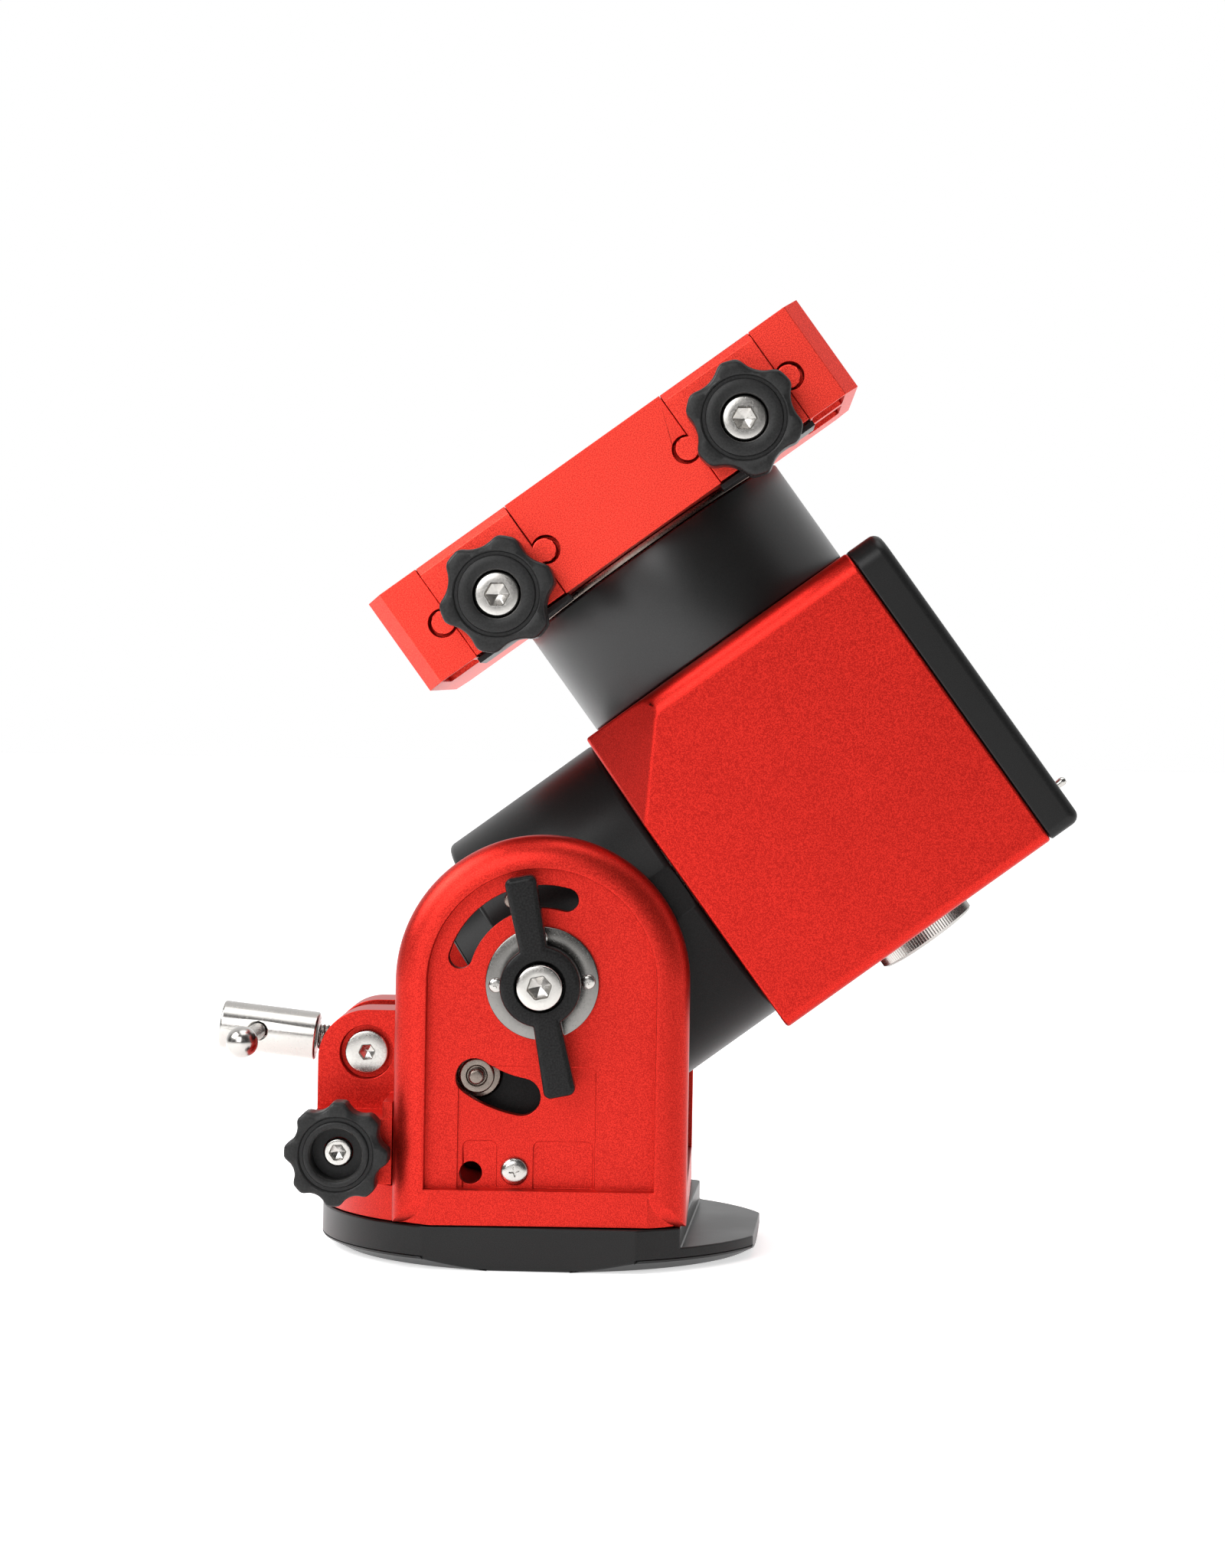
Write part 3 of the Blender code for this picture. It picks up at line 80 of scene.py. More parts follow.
def extent(node, place):
    """Lowest and highest corner of a CAD node in a local frame, in mm."""
    inverse = place.inverted()
    points = [inverse @ vertex.co / MM for vertex in frame["nodes"][node].data.vertices]
    low = Vector([min(point[axis] for point in points) for axis in range(3)])
    high = Vector([max(point[axis] for point in points) for axis in range(3)])
    return low, high


def along_side(node, place, side):
    """A CAD node's nearest and farthest distance from the middle plane on its side, in mm."""
    low, high = extent(node, place)
    return (low.y, high.y) if side > 0 else (-high.y, -low.y)


# ----- outlines
def polar(centre, radius, angle):
    """The point at a radius and an angle in degrees round a centre."""
    turn = radians(angle)
    return (centre[0] + radius * cos(turn), centre[1] + radius * sin(turn))


def arc(centre, radius, start, end, count):
    """Points on an arc, angles in degrees, ends included."""
    return [polar(centre, radius, start + (end - start) * step / count) for step in range(count + 1)]


def circle(radius, height, steps):
    """A closed ring of 3D points round Z."""
    return [(*polar((0, 0), radius, 360 * step / steps), height) for step in range(steps)]


def quarter(steps):
    """Angles from zero to a right angle, in radians."""
    return [pi / 2 * step / steps for step in range(steps + 1)]


def between(side, inner, outer):
    """Two distances from the middle plane as a low and a high Y on one side."""
    return sorted((side * inner, side * outer))


def rounded(points, radius, steps=4, closed=True):
    """Round the corners of an outline; radius is one number or one for each corner."""
    count = len(points)
    radii = radius if isinstance(radius, (list, tuple)) else [radius] * count
    result = []
    for index, point in enumerate(points):
        here = Vector(point)
        if not closed and index in (0, count - 1) or radii[index] <= 0:
            result.append(tuple(here))
            continue
        before = Vector(points[index - 1]) - here
        after = Vector(points[(index + 1) % count]) - here
        turn = before.angle(after, pi)
        if turn > pi - 0.02:
            result.append(tuple(here))
            continue
        reach = min(radii[index] / tan(turn / 2), before.length * 0.49, after.length * 0.49)
        size = reach * tan(turn / 2)
        middle = here + (before.normalized() + after.normalized()).normalized() * size / sin(turn / 2)
        first = here + before.normalized() * reach - middle
        last = here + after.normalized() * reach - middle
        sweep = first.angle_signed(last)
        for step in range(steps + 1):
            spun = Matrix.Rotation(-sweep * step / steps, 2) @ first
            result.append(tuple(middle + spun))
    return result


def inset(outline, amount):
    """Move a closed outline inwards; it runs anticlockwise."""
    count = len(outline)
    result = []
    for index in range(count):
        here = Vector(outline[index])
        before = (here - Vector(outline[index - 1])).normalized()
        after = (Vector(outline[(index + 1) % count]) - here).normalized()
        normal = Vector((-before.y - after.y, before.x + after.x))
        if normal.length < 1e-6:
            result.append(tuple(here))
            continue
        normal.normalize()
        stretch = max(0.35, normal.dot(Vector((-before.y, before.x))))
        result.append(tuple(here + normal * amount / stretch))
    return result


def is_anticlockwise(outline):
    area = 0.0
    for index, point in enumerate(outline):
        after = outline[(index + 1) % len(outline)]
        area += point[0] * after[1] - after[0] * point[1]
    return area > 0


# ----- meshes
PLANES = {
    "XY": Matrix.Identity(4),
    "XZ": Matrix(((1, 0, 0, 0), (0, 0, 1, 0), (0, 1, 0, 0), (0, 0, 0, 1))),
    "YZ": Matrix(((0, 0, 1, 0), (1, 0, 0, 0), (0, 1, 0, 0), (0, 0, 0, 1))),
}


def loft(sections, ring=False, caps=True):
    """A closed solid through matching outlines of 3D points in mm."""
    shape = bmesh.new()
    rings = [[shape.verts.new(Vector(point) * MM) for point in section] for section in sections]
    pairs = list(zip(rings, rings[1:]))
    if ring:
        pairs.append((rings[-1], rings[0]))
    for lower, upper in pairs:
        for index in range(len(lower)):
            after = (index + 1) % len(lower)
            shape.faces.new((lower[index], lower[after], upper[after], upper[index]))
    if caps and not ring:
        shape.faces.new(reversed(rings[0]))
        shape.faces.new(rings[-1])
    bmesh.ops.remove_doubles(shape, verts=shape.verts, dist=1e-7)
    bmesh.ops.recalc_face_normals(shape, faces=shape.faces)
    mesh = bpy.data.meshes.new("shape")
    shape.to_mesh(mesh)
    shape.free()
    return mesh


def prism(outline, low, high, plane="XY", edge=0.0, steps=2):
    """An outline given thickness along the plane's normal, its rim edges rounded by edge."""
    if not is_anticlockwise(outline):
        outline = outline[::-1]
    levels = [(low, 0.0), (high, 0.0)]
    if edge > 0:
        levels = [(low + edge * (1 - cos(turn)), edge * (1 - sin(turn))) for turn in quarter(steps)]
        levels += [(high - (level - low), shrink) for level, shrink in reversed(levels)]
    sections = []
    for level, shrink in levels:
        outline_here = inset(outline, shrink) if shrink else outline
        sections.append([PLANES[plane] @ Vector((u, v, level)) for u, v in outline_here])
    return loft(sections)


def block(low, high, edge=0.0):
    """A box between two corners, in mm."""
    outline = [(low[0], low[1]), (high[0], low[1]), (high[0], high[1]), (low[0], high[1])]
    if edge > 0:
        outline = rounded(outline, edge, 2)
    return prism(outline, low[2], high[2], "XY", edge)


AXES = {
    "Z": Matrix.Identity(4),
    "Y": Matrix(((1, 0, 0, 0), (0, 0, 1, 0), (0, -1, 0, 0), (0, 0, 0, 1))),
    "X": Matrix(((0, 0, 1, 0), (0, 1, 0, 0), (-1, 0, 0, 0), (0, 0, 0, 1))),
}


def revolve(profile, axis="Z", centre=(0, 0, 0), steps=64, ring=False, edge=0.0):
    """A turned solid from (radius, height) points; sharp corners are rounded by edge."""
    if edge > 0:
        profile = rounded(profile, edge, 3, closed=ring)
    spin = AXES[axis]
    sections = []
    for radius, height in profile:
        sections.append([spin @ Vector(point) + Vector(centre) for point in circle(radius, height, steps)])
    return loft(sections, ring)


def rod(radius, low, high, axis="Z", centre=(0, 0, 0), steps=48, edge=0.0):
    """A round bar along an axis; edge rounds both rims."""
    profile = [(radius, low), (radius, high)]
    if edge > 0:
        start = [(radius - edge * (1 - sin(turn)), low + edge * (1 - cos(turn))) for turn in quarter(3)]
        end = [(radius - edge * (1 - cos(turn)), high - edge * (1 - sin(turn))) for turn in quarter(3)]
        profile = start + end
    return revolve(profile, axis, centre, steps)


def slot_outline(centre, radius, start, end, half, count=24):
    """A round-ended slot that follows an arc."""
    points = arc(centre, radius + half, start, end, count)
    points += arc(polar(centre, radius, end), half, end, end + 180, 12)[1:-1]
    points += arc(centre, radius - half, end, start, count)
    points += arc(polar(centre, radius, start), half, start + 180, start + 360, 12)[1:-1]
    return points


def moved(mesh, matrix):
    mesh.transform(matrix)
    return mesh


def shifted(mesh, offset):
    return moved(mesh, Matrix.Translation(Vector(offset) * MM))


def outward(mesh, side):
    """Turn a mesh that is drawn along Z, so that it points along Y away from the middle."""
    return moved(mesh, Matrix(((1, 0, 0, 0), (0, 0, side, 0), (0, 1, 0, 0), (0, 0, 0, 1))))


# ----- pieces
def temporary(mesh):
    """A short-lived object that carries a mesh through modifiers."""
    obj = bpy.data.objects.new("tool", mesh)
    bpy.context.scene.collection.objects.link(obj)
    return obj


def evaluated_mesh(obj):
    graph = bpy.context.evaluated_depsgraph_get()
    graph.update()
    return bpy.data.meshes.new_from_object(obj.evaluated_get(graph))


WELD = 1e-5
SHARP = 38


def carve(mesh, cuts=(), joins=(), bevel=0.0, segments=3, angle=32):
    """Join and cut solids, then round the edges that are left."""
    mesh.shade_smooth()
    obj = temporary(mesh)
    tools = []
    for operation, meshes in (("UNION", joins), ("DIFFERENCE", cuts)):
        for other in meshes:
            other.shade_smooth()
            tool = temporary(other)
            tools.append(tool)
            modifier = obj.modifiers.new("tool", "BOOLEAN")
            modifier.operation = operation
            modifier.object = tool
    if bevel > 0:
        clean = evaluated_mesh(obj)
        obj.modifiers.clear()
        shape = bmesh.new()
        shape.from_mesh(clean)
        bmesh.ops.remove_doubles(shape, verts=shape.verts, dist=WELD)
        large = [face for face in shape.faces if len(face.verts) > 4]
        bmesh.ops.triangulate(shape, faces=large, quad_method="BEAUTY", ngon_method="BEAUTY")
        shape.to_mesh(clean)
        shape.free()
        obj.data = clean
        modifier = obj.modifiers.new("edges", "BEVEL")
        modifier.width = bevel * MM
        modifier.segments = segments
        modifier.limit_method = "ANGLE"
        modifier.angle_limit = radians(angle)
        modifier.use_clamp_overlap = False
        weighted = obj.modifiers.new("normals", "WEIGHTED_NORMAL")
        weighted.keep_sharp = True
    result = evaluated_mesh(obj)
    for item in (obj, *tools):
        bpy.data.objects.remove(item)
    return result


def merged(*meshes):
    shape = bmesh.new()
    for mesh in meshes:
        shape.from_mesh(mesh)
    result = bpy.data.meshes.new("shape")
    shape.to_mesh(result)
    shape.free()
    return result


def piece(name, mesh, place, body, slot, finish=None):
    """A visible piece in a local frame, riding on a body; it replaces the CAD node of its name."""
    mesh.name = name
    mesh.shade_smooth()
    if not mesh.has_custom_normals:
        mesh.set_sharp_from_angle(angle=radians(SHARP))
    obj = bpy.data.objects.new(name, mesh)
    bpy.context.scene.collection.objects.link(obj)
    obj.matrix_world = place
    mesh.materials.clear()
    mesh.materials.append(MATERIALS[finish or slot])
    bpy.context.view_layer.update()
    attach(obj, body)
    if name in frame["nodes"]:
        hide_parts(name)


# ----- materials
class Finish:
    """One procedural material, built node by node."""

    def __init__(self, name, colour, roughness, metallic):
        self.material = bpy.data.materials.new(name)
        self.material.use_nodes = True
        self.tree = self.material.node_tree
        self.shader = self.tree.nodes["Principled BSDF"]
        self.shader.inputs["Base Color"].default_value = (*colour, 1.0)
        self.shader.inputs["Roughness"].default_value = roughness
        self.shader.inputs["Metallic"].default_value = metallic
        self.place = self.tree.nodes.new("ShaderNodeTexCoord").outputs["Object"]

    def add(self, kind, **values):
        node = self.tree.nodes.new("ShaderNode" + kind)
        for key, value in values.items():
            setattr(node, key, value)
        return node

    def link(self, source, target):
        self.tree.links.new(source, target)

    def noise(self, scale, detail=2.0, stretch=None):
        """A noise field; scale is in features per metre, stretch scales each axis."""
        node = self.add("TexNoise")
        node.inputs["Scale"].default_value = scale
        node.inputs["Detail"].default_value = detail
        source = self.place
        if stretch is not None:
            mapping = self.add("Mapping")
            mapping.inputs["Scale"].default_value = stretch
            self.link(source, mapping.inputs["Vector"])
            source = mapping.outputs["Vector"]
        self.link(source, node.inputs["Vector"])
        return node.outputs["Fac"]

    def ramp(self, source, stops):
        """A colour or grey ramp: stops are (position, value or colour)."""
        node = self.add("ValToRGB")
        ramp = node.color_ramp
        while len(ramp.elements) < len(stops):
            ramp.elements.new(0.5)
        for element, (position, value) in zip(ramp.elements, stops):
            colour = value if isinstance(value, tuple) else (value, value, value)
            element.position = position
            element.color = (*colour, 1.0)
        self.link(source, node.inputs["Fac"])
        return node.outputs["Color"]

    def multiply(self, first, second):
        node = self.add("Mix", data_type="RGBA", blend_type="MULTIPLY")
        node.inputs["Factor"].default_value = 1.0
        self.link(first, node.inputs["A"])
        self.link(second, node.inputs["B"])
        return node.outputs["Result"]

    def colour(self, source):
        self.link(source, self.shader.inputs["Base Color"])

    def roughen(self, source, low, high):
        """Roughness that follows a field."""
        self.link(self.ramp(source, [(0.3, low), (0.7, high)]), self.shader.inputs["Roughness"])

    def bump(self, layers):
        """Chain of bumps: (height source, strength, distance in mm)."""
        normal = None
        for source, strength, distance in layers:
            node = self.add("Bump")
            node.inputs["Strength"].default_value = strength
            node.inputs["Distance"].default_value = distance * MM
            self.link(source, node.inputs["Height"])
            if normal is not None:
                self.link(normal, node.inputs["Normal"])
            normal = node.outputs["Normal"]
        self.link(normal, self.shader.inputs["Normal"])


def red_anodised(name, level, depth):
    """Blasted red metal: level scales its brightness, depth its green and blue; lower values give darker copies
    that carry painted shade.
    """
    finish = Finish(name, (0.8, 0.05, 0.035), 0.4, 0.9)
    grain = finish.noise(3200, 2)
    cloud = finish.noise(45, 2)
    tones = [(0.60, 0.033, 0.023), (0.76, 0.050, 0.032), (0.95, 0.074, 0.047)]
    tones = [(red * level, green * level * depth, blue * level * depth) for red, green, blue in tones]
    speckle = finish.ramp(grain, list(zip((0.38, 0.5, 0.62), tones)))
    finish.colour(finish.multiply(speckle, finish.ramp(cloud, [(0.3, 0.95), (0.7, 1.0)])))
    finish.roughen(grain, 0.36, 0.44)
    finish.bump([(grain, 0.25, 0.01)])
    return finish.material


def black_anodised(name, specular, roughness):
    finish = Finish(name, (0.008, 0.008, 0.0085), roughness, 0.0)
    finish.shader.inputs["Specular IOR Level"].default_value = specular
    grain = finish.noise(3000, 2)
    finish.colour(finish.ramp(grain, [(0.3, 0.006), (0.72, 0.012)]))
    finish.roughen(finish.noise(30, 4), roughness - 0.03, roughness + 0.04)
    finish.bump([(grain, 0.1, 0.008)])
    return finish.material


def black_plastic(name, specular, roughness):
    finish = Finish(name, (0.01, 0.01, 0.0105), roughness, 0.0)
    finish.shader.inputs["Specular IOR Level"].default_value = specular
    grain = finish.noise(1800, 3)
    finish.colour(finish.ramp(grain, [(0.3, 0.008), (0.75, 0.018)]))
    finish.roughen(finish.noise(60, 3), roughness - 0.05, roughness + 0.05)
    finish.bump([(grain, 0.3, 0.02)])
    return finish.material


def stainless(name, level):
    """Turned steel with fine lines round it; level scales its brightness."""
    finish = Finish(name, (0.62, 0.6, 0.57), 0.24, 1.0)
    lines = finish.noise(1500, 2, stretch=(1.0, 0.12, 1.0))
    tones = [(0.43, 0.415, 0.395), (0.52, 0.505, 0.48)]
    tones = [tuple(channel * level for channel in tone) for tone in tones]
    finish.colour(finish.ramp(finish.noise(90, 2), list(zip((0.25, 0.75), tones))))
    finish.roughen(lines, 0.2, 0.28)
    finish.bump([(lines, 0.08, 0.004)])
    return finish.material


def dark_steel(name):
    finish = Finish(name, (0.2, 0.17, 0.15), 0.3, 1.0)
    lines = finish.noise(1500, 2)
    tones = [(0.25, (0.14, 0.115, 0.10)), (0.75, (0.24, 0.20, 0.175))]
    finish.colour(finish.ramp(finish.noise(150, 3), tones))
    finish.roughen(lines, 0.24, 0.34)
    finish.bump([(lines, 0.1, 0.006)])
    return finish.material


def circuit_green(name):
    finish = Finish(name, (0.01, 0.1, 0.04), 0.4, 0.0)
    tracks = finish.add("TexBrick")
    tracks.inputs["Scale"].default_value = 180
    tracks.inputs["Color1"].default_value = (0.006, 0.09, 0.03, 1)
    tracks.inputs["Color2"].default_value = (0.01, 0.12, 0.045, 1)
    tracks.inputs["Mortar"].default_value = (0.03, 0.2, 0.08, 1)
    finish.link(finish.place, tracks.inputs["Vector"])
    finish.colour(tracks.outputs["Color"])
    finish.bump([(tracks.outputs["Fac"], 0.3, 0.03)])
    return finish.material


FINISHES = (
    # The head and fork copies below are the same red metal dimmed and deepened: painted shade where that finish
    # falls in less light.
    (red_anodised, "red_anodised", 0.92, 0.95),
    (red_anodised, "red_anodised_head_painted_shade", 0.66, 0.52),
    (red_anodised, "red_anodised_fork_painted_shade", 0.66, 0.6),
    (black_plastic, "black_plastic_lever", 0.07, 0.22),
    (black_anodised, "black_anodised_polar", 0.08, 0.34),
    (black_anodised, "black_anodised_dec", 0.4, 0.3),
    (stainless, "stainless_disc", 0.42),
    (black_anodised, "black_anodised", 0.2, 0.34),
    (black_plastic, "black_plastic", 0.2, 0.38),
    (stainless, "stainless", 1.0),
    (dark_steel, "dark_steel"),
    (circuit_green, "circuit_green"),
)
MATERIALS = {name: maker(name, *values) for maker, name, *values in FINISHES}


# ----- camera, light and floor
CAMERA_PLACE = (0.0571, -1.150, 0.172)
CAMERA_ROLL = 0.95
FIELD_OF_VIEW = 23.24
CAMERA_SHIFT = (-0.0854, -0.0703)


def make_camera():
    data = bpy.data.cameras.new("camera")
    data.sensor_fit = "VERTICAL"
    data.angle_y = radians(FIELD_OF_VIEW)
    data.shift_x, data.shift_y = CAMERA_SHIFT
    data.clip_start = 0.01
    camera = bpy.data.objects.new("camera", data)
    bpy.context.scene.collection.objects.link(camera)
    level = Matrix.Rotation(pi / 2, 4, "X") @ Matrix.Rotation(radians(CAMERA_ROLL), 4, "Z")
    camera.matrix_world = Matrix.Translation(CAMERA_PLACE) @ level
    bpy.context.scene.camera = camera


def make_lamp(name, place, target, size, power):
    data = bpy.data.lights.new(name, "AREA")
    data.shape = "RECTANGLE"
    data.size, data.size_y = size
    data.energy = power
    lamp = bpy.data.objects.new(name, data)
    bpy.context.scene.collection.objects.link(lamp)
    aim = Vector(target) - Vector(place)
    lamp.matrix_world = Matrix.Translation(place) @ aim.to_track_quat("-Z", "Y").to_matrix().to_4x4()


ROOM_LEAN = (0.4, 1.0, 0.1)
ROOM_DARK = 0.07
LAMPS = (
    ("key", (-0.55, -1.5, 0.8), (0, 0, 0.15), (0.9, 0.9), 14),
    ("rim", (-0.8, -0.3, 0.8), (0, 0, 0.1), (0.6, 0.6), 12),
    ("top", (0.1, -0.2, 1.3), (0, 0, 0.1), (0.8, 0.8), 6),
)


def make_studio():
    """A white room that is darker on the camera's side, and three soft lamps."""
    world = bpy.data.worlds.new("studio")
    bpy.context.scene.world = world
    world.use_nodes = True
    tree = world.node_tree
    background = tree.nodes["Background"]
    direction = tree.nodes.new("ShaderNodeTexCoord")
    lean = tree.nodes.new("ShaderNodeVectorMath")
    lean.operation = "DOT_PRODUCT"
    lean.inputs[1].default_value = ROOM_LEAN
    ramp = tree.nodes.new("ShaderNodeMapRange")
    ramp.interpolation_type = "SMOOTHSTEP"
    ramp.inputs["From Min"].default_value = -0.15
    ramp.inputs["From Max"].default_value = 0.45
    ramp.inputs["To Min"].default_value = ROOM_DARK
    ramp.inputs["To Max"].default_value = 1.0
    tree.links.new(direction.outputs["Generated"], lean.inputs[0])
    tree.links.new(lean.outputs["Value"], ramp.inputs["Value"])
    seen = tree.nodes.new("ShaderNodeLightPath")
    choose = tree.nodes.new("ShaderNodeMath")
    choose.operation = "MAXIMUM"
    tree.links.new(ramp.outputs["Result"], choose.inputs[0])
    tree.links.new(seen.outputs["Is Camera Ray"], choose.inputs[1])
    tree.links.new(choose.outputs["Value"], background.inputs["Color"])
    background.inputs["Strength"].default_value = 1.0
    for name, place, target, size, power in LAMPS:
        make_lamp(name, place, target, size, power)


def make_floor():
    shape = bmesh.new()
    bmesh.ops.create_grid(shape, x_segments=2, y_segments=2, size=6)
    mesh = bpy.data.meshes.new("floor")
    shape.to_mesh(mesh)
    shape.free()
    floor = bpy.data.objects.new("floor", mesh)
    floor.location.z = -0.0002
    bpy.context.scene.collection.objects.link(floor)
    material = bpy.data.materials.new("floor")
    material.use_nodes = True
    shader = material.node_tree.nodes["Principled BSDF"]
    shader.inputs["Base Color"].default_value = (0.93, 0.93, 0.93, 1)
    shader.inputs["Roughness"].default_value = 0.6
    shader.inputs["Emission Color"].default_value = (1, 1, 1, 1)
    shader.inputs["Emission Strength"].default_value = 0.6
    mesh.materials.append(material)


# ----- fasteners
def socket_screw(radius, head_top, head_bottom, shank, tip, across, side, turn=12.0, edge=0.6):
    """A socket head screw along Y: heights are distances from the middle plane on one side."""
    depth = (head_top - head_bottom) * 0.62
    steps = 48
    rim = across / 2 + 0.9
    profile = [(shank, tip), (shank, head_bottom), (radius, head_bottom), (radius, head_top), (rim, head_top)]
    profile = rounded(profile, [0, 0, 0, edge, 0], 3, closed=False)
    sections = [circle(reach, height, steps) for reach, height in profile]

    def hexagon(size, height, scale=1.0):
        ring = []
        for step in range(steps):
            angle = 360 * step / steps
            from_flat = (angle - turn) % 60 - 30
            reach = scale * size / 2 / cos(radians(from_flat))
            ring.append((*polar((0, 0), reach, angle), height))
        return ring

    sections.append(hexagon(across + 0.5, head_top))
    sections.append(hexagon(across, head_top - 0.35))
    sections.append(hexagon(across, head_top - depth))
    sections.append(hexagon(across, head_top - depth - across * 0.22, scale=0.15))
    return outward(loft(sections), side)


PAN_PROFILE = ((1.0, 0.0), (1.0, 0.35), (0.9, 0.7), (0.68, 0.93), (0.5, 1.0))


def pan_screw(radius, base, height, side, centre, turn=20.0):
    """A small domed screw head with a cross recess, along Y."""
    steps = 32
    sections = [circle(reach * radius, base + level * height, steps) for reach, level in PAN_PROFILE]
    for depth, size in ((0.0, 0.42), (0.9, 0.34)):
        ring = []
        for step in range(steps):
            angle = 360 * step / steps
            arm = abs(cos(radians(2 * (angle - turn))))
            reach = radius * size * (0.35 + 0.65 * arm ** 6)
            ring.append((*polar((0, 0), reach, angle), base + height - depth * height))
        sections.append(ring)
    return shifted(outward(loft(sections), side), centre)


def threaded_rod(radius, pitch, low, high, steps=28, rows_per_turn=6):
    """A rod along X with a helical thread on its whole length."""
    sections = []
    rows = int((high - low) / pitch * rows_per_turn)
    for row in range(rows + 1):
        along = low + (high - low) * row / rows
        section = []
        for step in range(steps):
            turn = step / steps
            phase = (along / pitch - turn) % 1.0
            tooth = 1 - abs(2 * phase - 1)
            reach = radius - pitch * 0.5 * (1 - tooth)
            if row in (0, rows):
                reach = radius - pitch * 0.6
            angle = 2 * pi * turn
            section.append((along, reach * cos(angle), reach * sin(angle)))
        sections.append(section)
    return loft(sections)


# ----- hand knobs and levers
def lobed_reaches(radius, lobes, depth, steps, width=0.65):
    """A knob's radius at each step round it: broad lobes with round scoops between them."""
    edge = pi / lobes * width
    waist = radius - depth
    scoop = (radius ** 2 + waist ** 2 - 2 * radius * waist * cos(edge)) / 2
    scoop /= radius * cos(edge) - waist
    centre = waist + scoop
    reaches = []
    for step in range(steps):
        angle = 2 * pi * step / steps % (2 * pi / lobes) - pi / lobes
        inside = scoop ** 2 - (centre * sin(angle)) ** 2
        reach = centre * cos(angle) - inside ** 0.5 if inside > 0 else radius
        reaches.append(min(reach, radius))
    window = range(-2, 3)
    return [sum(reaches[(step + k) % steps] for k in window) / len(window) for step in range(steps)]


def knob_mesh(radius, lobes, depth, back, front, groove, recess, recess_depth, bore, turn, side):
    """A lobed hand knob along Y with a ring groove and a centre recess on its front."""
    steps = lobes * 32
    angles = [2 * pi * step / steps for step in range(steps)]
    reaches = lobed_reaches(radius, lobes, depth, steps)

    def ring(shrink, height, blend=0.0, circle=0.0):
        section = []
        for angle, reach in zip(angles, reaches):
            here = (reach - shrink) * (1 - blend) + circle * blend
            spun = angle + radians(turn)
            section.append((here * cos(spun), here * sin(spun), height))
        return section

    edge = 1.3
    sections = [ring(0, back, 1, bore), ring(edge, back)]
    for angle in quarter(4)[1:]:
        sections.append(ring(edge * (1 - sin(angle)), back + edge * (1 - cos(angle))))
    for angle in quarter(4):
        sections.append(ring(edge * (1 - cos(angle)), front - 0.5 - edge * (1 - sin(angle))))
    outer_groove, inner_groove = groove
    face = (
        (outer_groove + 0.5, 0.25), (outer_groove + 0.12, 0.45), (outer_groove - 0.15, 1.0),
        (inner_groove + 0.15, 1.0), (inner_groove - 0.15, 0.15), (inner_groove - 0.5, 0.0),
        (recess + 0.9, 0.0), (recess + 0.35, 0.2), (recess, 0.9), (recess - 0.1, recess_depth),
        (bore, recess_depth),
    )
    sections += [ring(0, front - sunk, 1, reach) for reach, sunk in face]
    return outward(loft(sections, ring=True), side)


def lever_outline(half, hub, root, tip):
    """A round hub with two arms that widen from root to tip."""
    start = degrees(asin(root / hub))
    right = arc((0, 0), hub, -90 + start, 90 - start, 24)
    left = arc((0, 0), hub, 90 + start, 270 - start, 24)
    arm = rounded([(root, hub * 0.97), (tip, half), (-tip, half), (-root, hub * 0.97)],
                  [0, 2.0, 2.0, 0], 5, closed=False)[1:-1]
    return right + arm + left + [(-x, -z) for x, z in arm]


LEVER_HALF = 31.8
LEVER_HUB = 11.5
LEVER_TURN = 11.5
LEVER_THICK = 8.0
KNOB_BORE = 4.3


def build_levers():
    for side, name in SIDES:
        front = along_side("clamp_lever_" + name, ALT, side)[1]
        spin = Matrix.Rotation(radians(LEVER_TURN), 2)
        outline = [tuple(spin @ Vector(point)) for point in lever_outline(LEVER_HALF, LEVER_HUB, 3.9, 4.6)]
        body = outward(prism(outline, front - LEVER_THICK, front, "XY", 1.5, 4), side)
        hub = outward(rod(11.2, 57.6, front - 2.0, steps=96), side)
        bore = outward(rod(KNOB_BORE, 40, 90, steps=48), side)
        counterbore = outward(rod(7.3, front - 5.5, 90, steps=64), side)
        lever = carve(body, cuts=[bore, counterbore], joins=[hub], bevel=0.35, segments=2, angle=40)
        piece("clamp_lever_" + name, lever, ALT, name + "_lever", "black_plastic",
              finish="black_plastic_lever")
        screw = socket_screw(radius=6.5, head_top=72.5, head_bottom=64.8, shank=3.9, tip=50.0, across=6.0,
                             side=side)
        piece("clamp_screw_" + name, screw, ALT, name + "_lever", "stainless")


def build_saddle_knobs():
    for place, name, turn in ((LEFT, "left", 45), (RIGHT, "right", 11)):
        knob = knob_mesh(radius=16.7, lobes=6, depth=2.7, back=58.0, front=74.0, groove=(12.1, 11.0),
                         recess=6.9, recess_depth=9.8, bore=KNOB_BORE, turn=turn, side=-1)
        piece("clamp_knob_" + name, knob, place, name + "_knob", "black_plastic")
        screw = socket_screw(radius=6.4, head_top=72.0, head_bottom=64.5, shank=3.9, tip=27.0, across=6.0,
                             side=-1, turn=25)
        piece("clamp_knob_screw_" + name, screw, place, name + "_knob", "stainless")


def build_azimuth_knobs():
    for place, side, name in ((NEAR_SCREW, -1, "near"), (FAR_SCREW, 1, "far")):
        back, front = along_side("azimuth_knob_" + name, place, side)
        knob = knob_mesh(radius=14.9, lobes=8, depth=2.1, back=back, front=front, groove=(10.6, 9.4),
                         recess=7.45, recess_depth=front - back - 2.5, bore=KNOB_BORE, turn=-2.5, side=side)
        piece("azimuth_knob_" + name, knob, place, name + "_azimuth_knob", "black_plastic")
        start, end = along_side("azimuth_screw_" + name, place, side)
        screw = socket_screw(radius=4.0, head_top=end, head_bottom=end - 3.0, shank=4.0, tip=start,
                             across=4.0, side=side, turn=5, edge=0.5)
        piece("azimuth_screw_" + name, screw, place, name + "_azimuth_knob", "stainless")


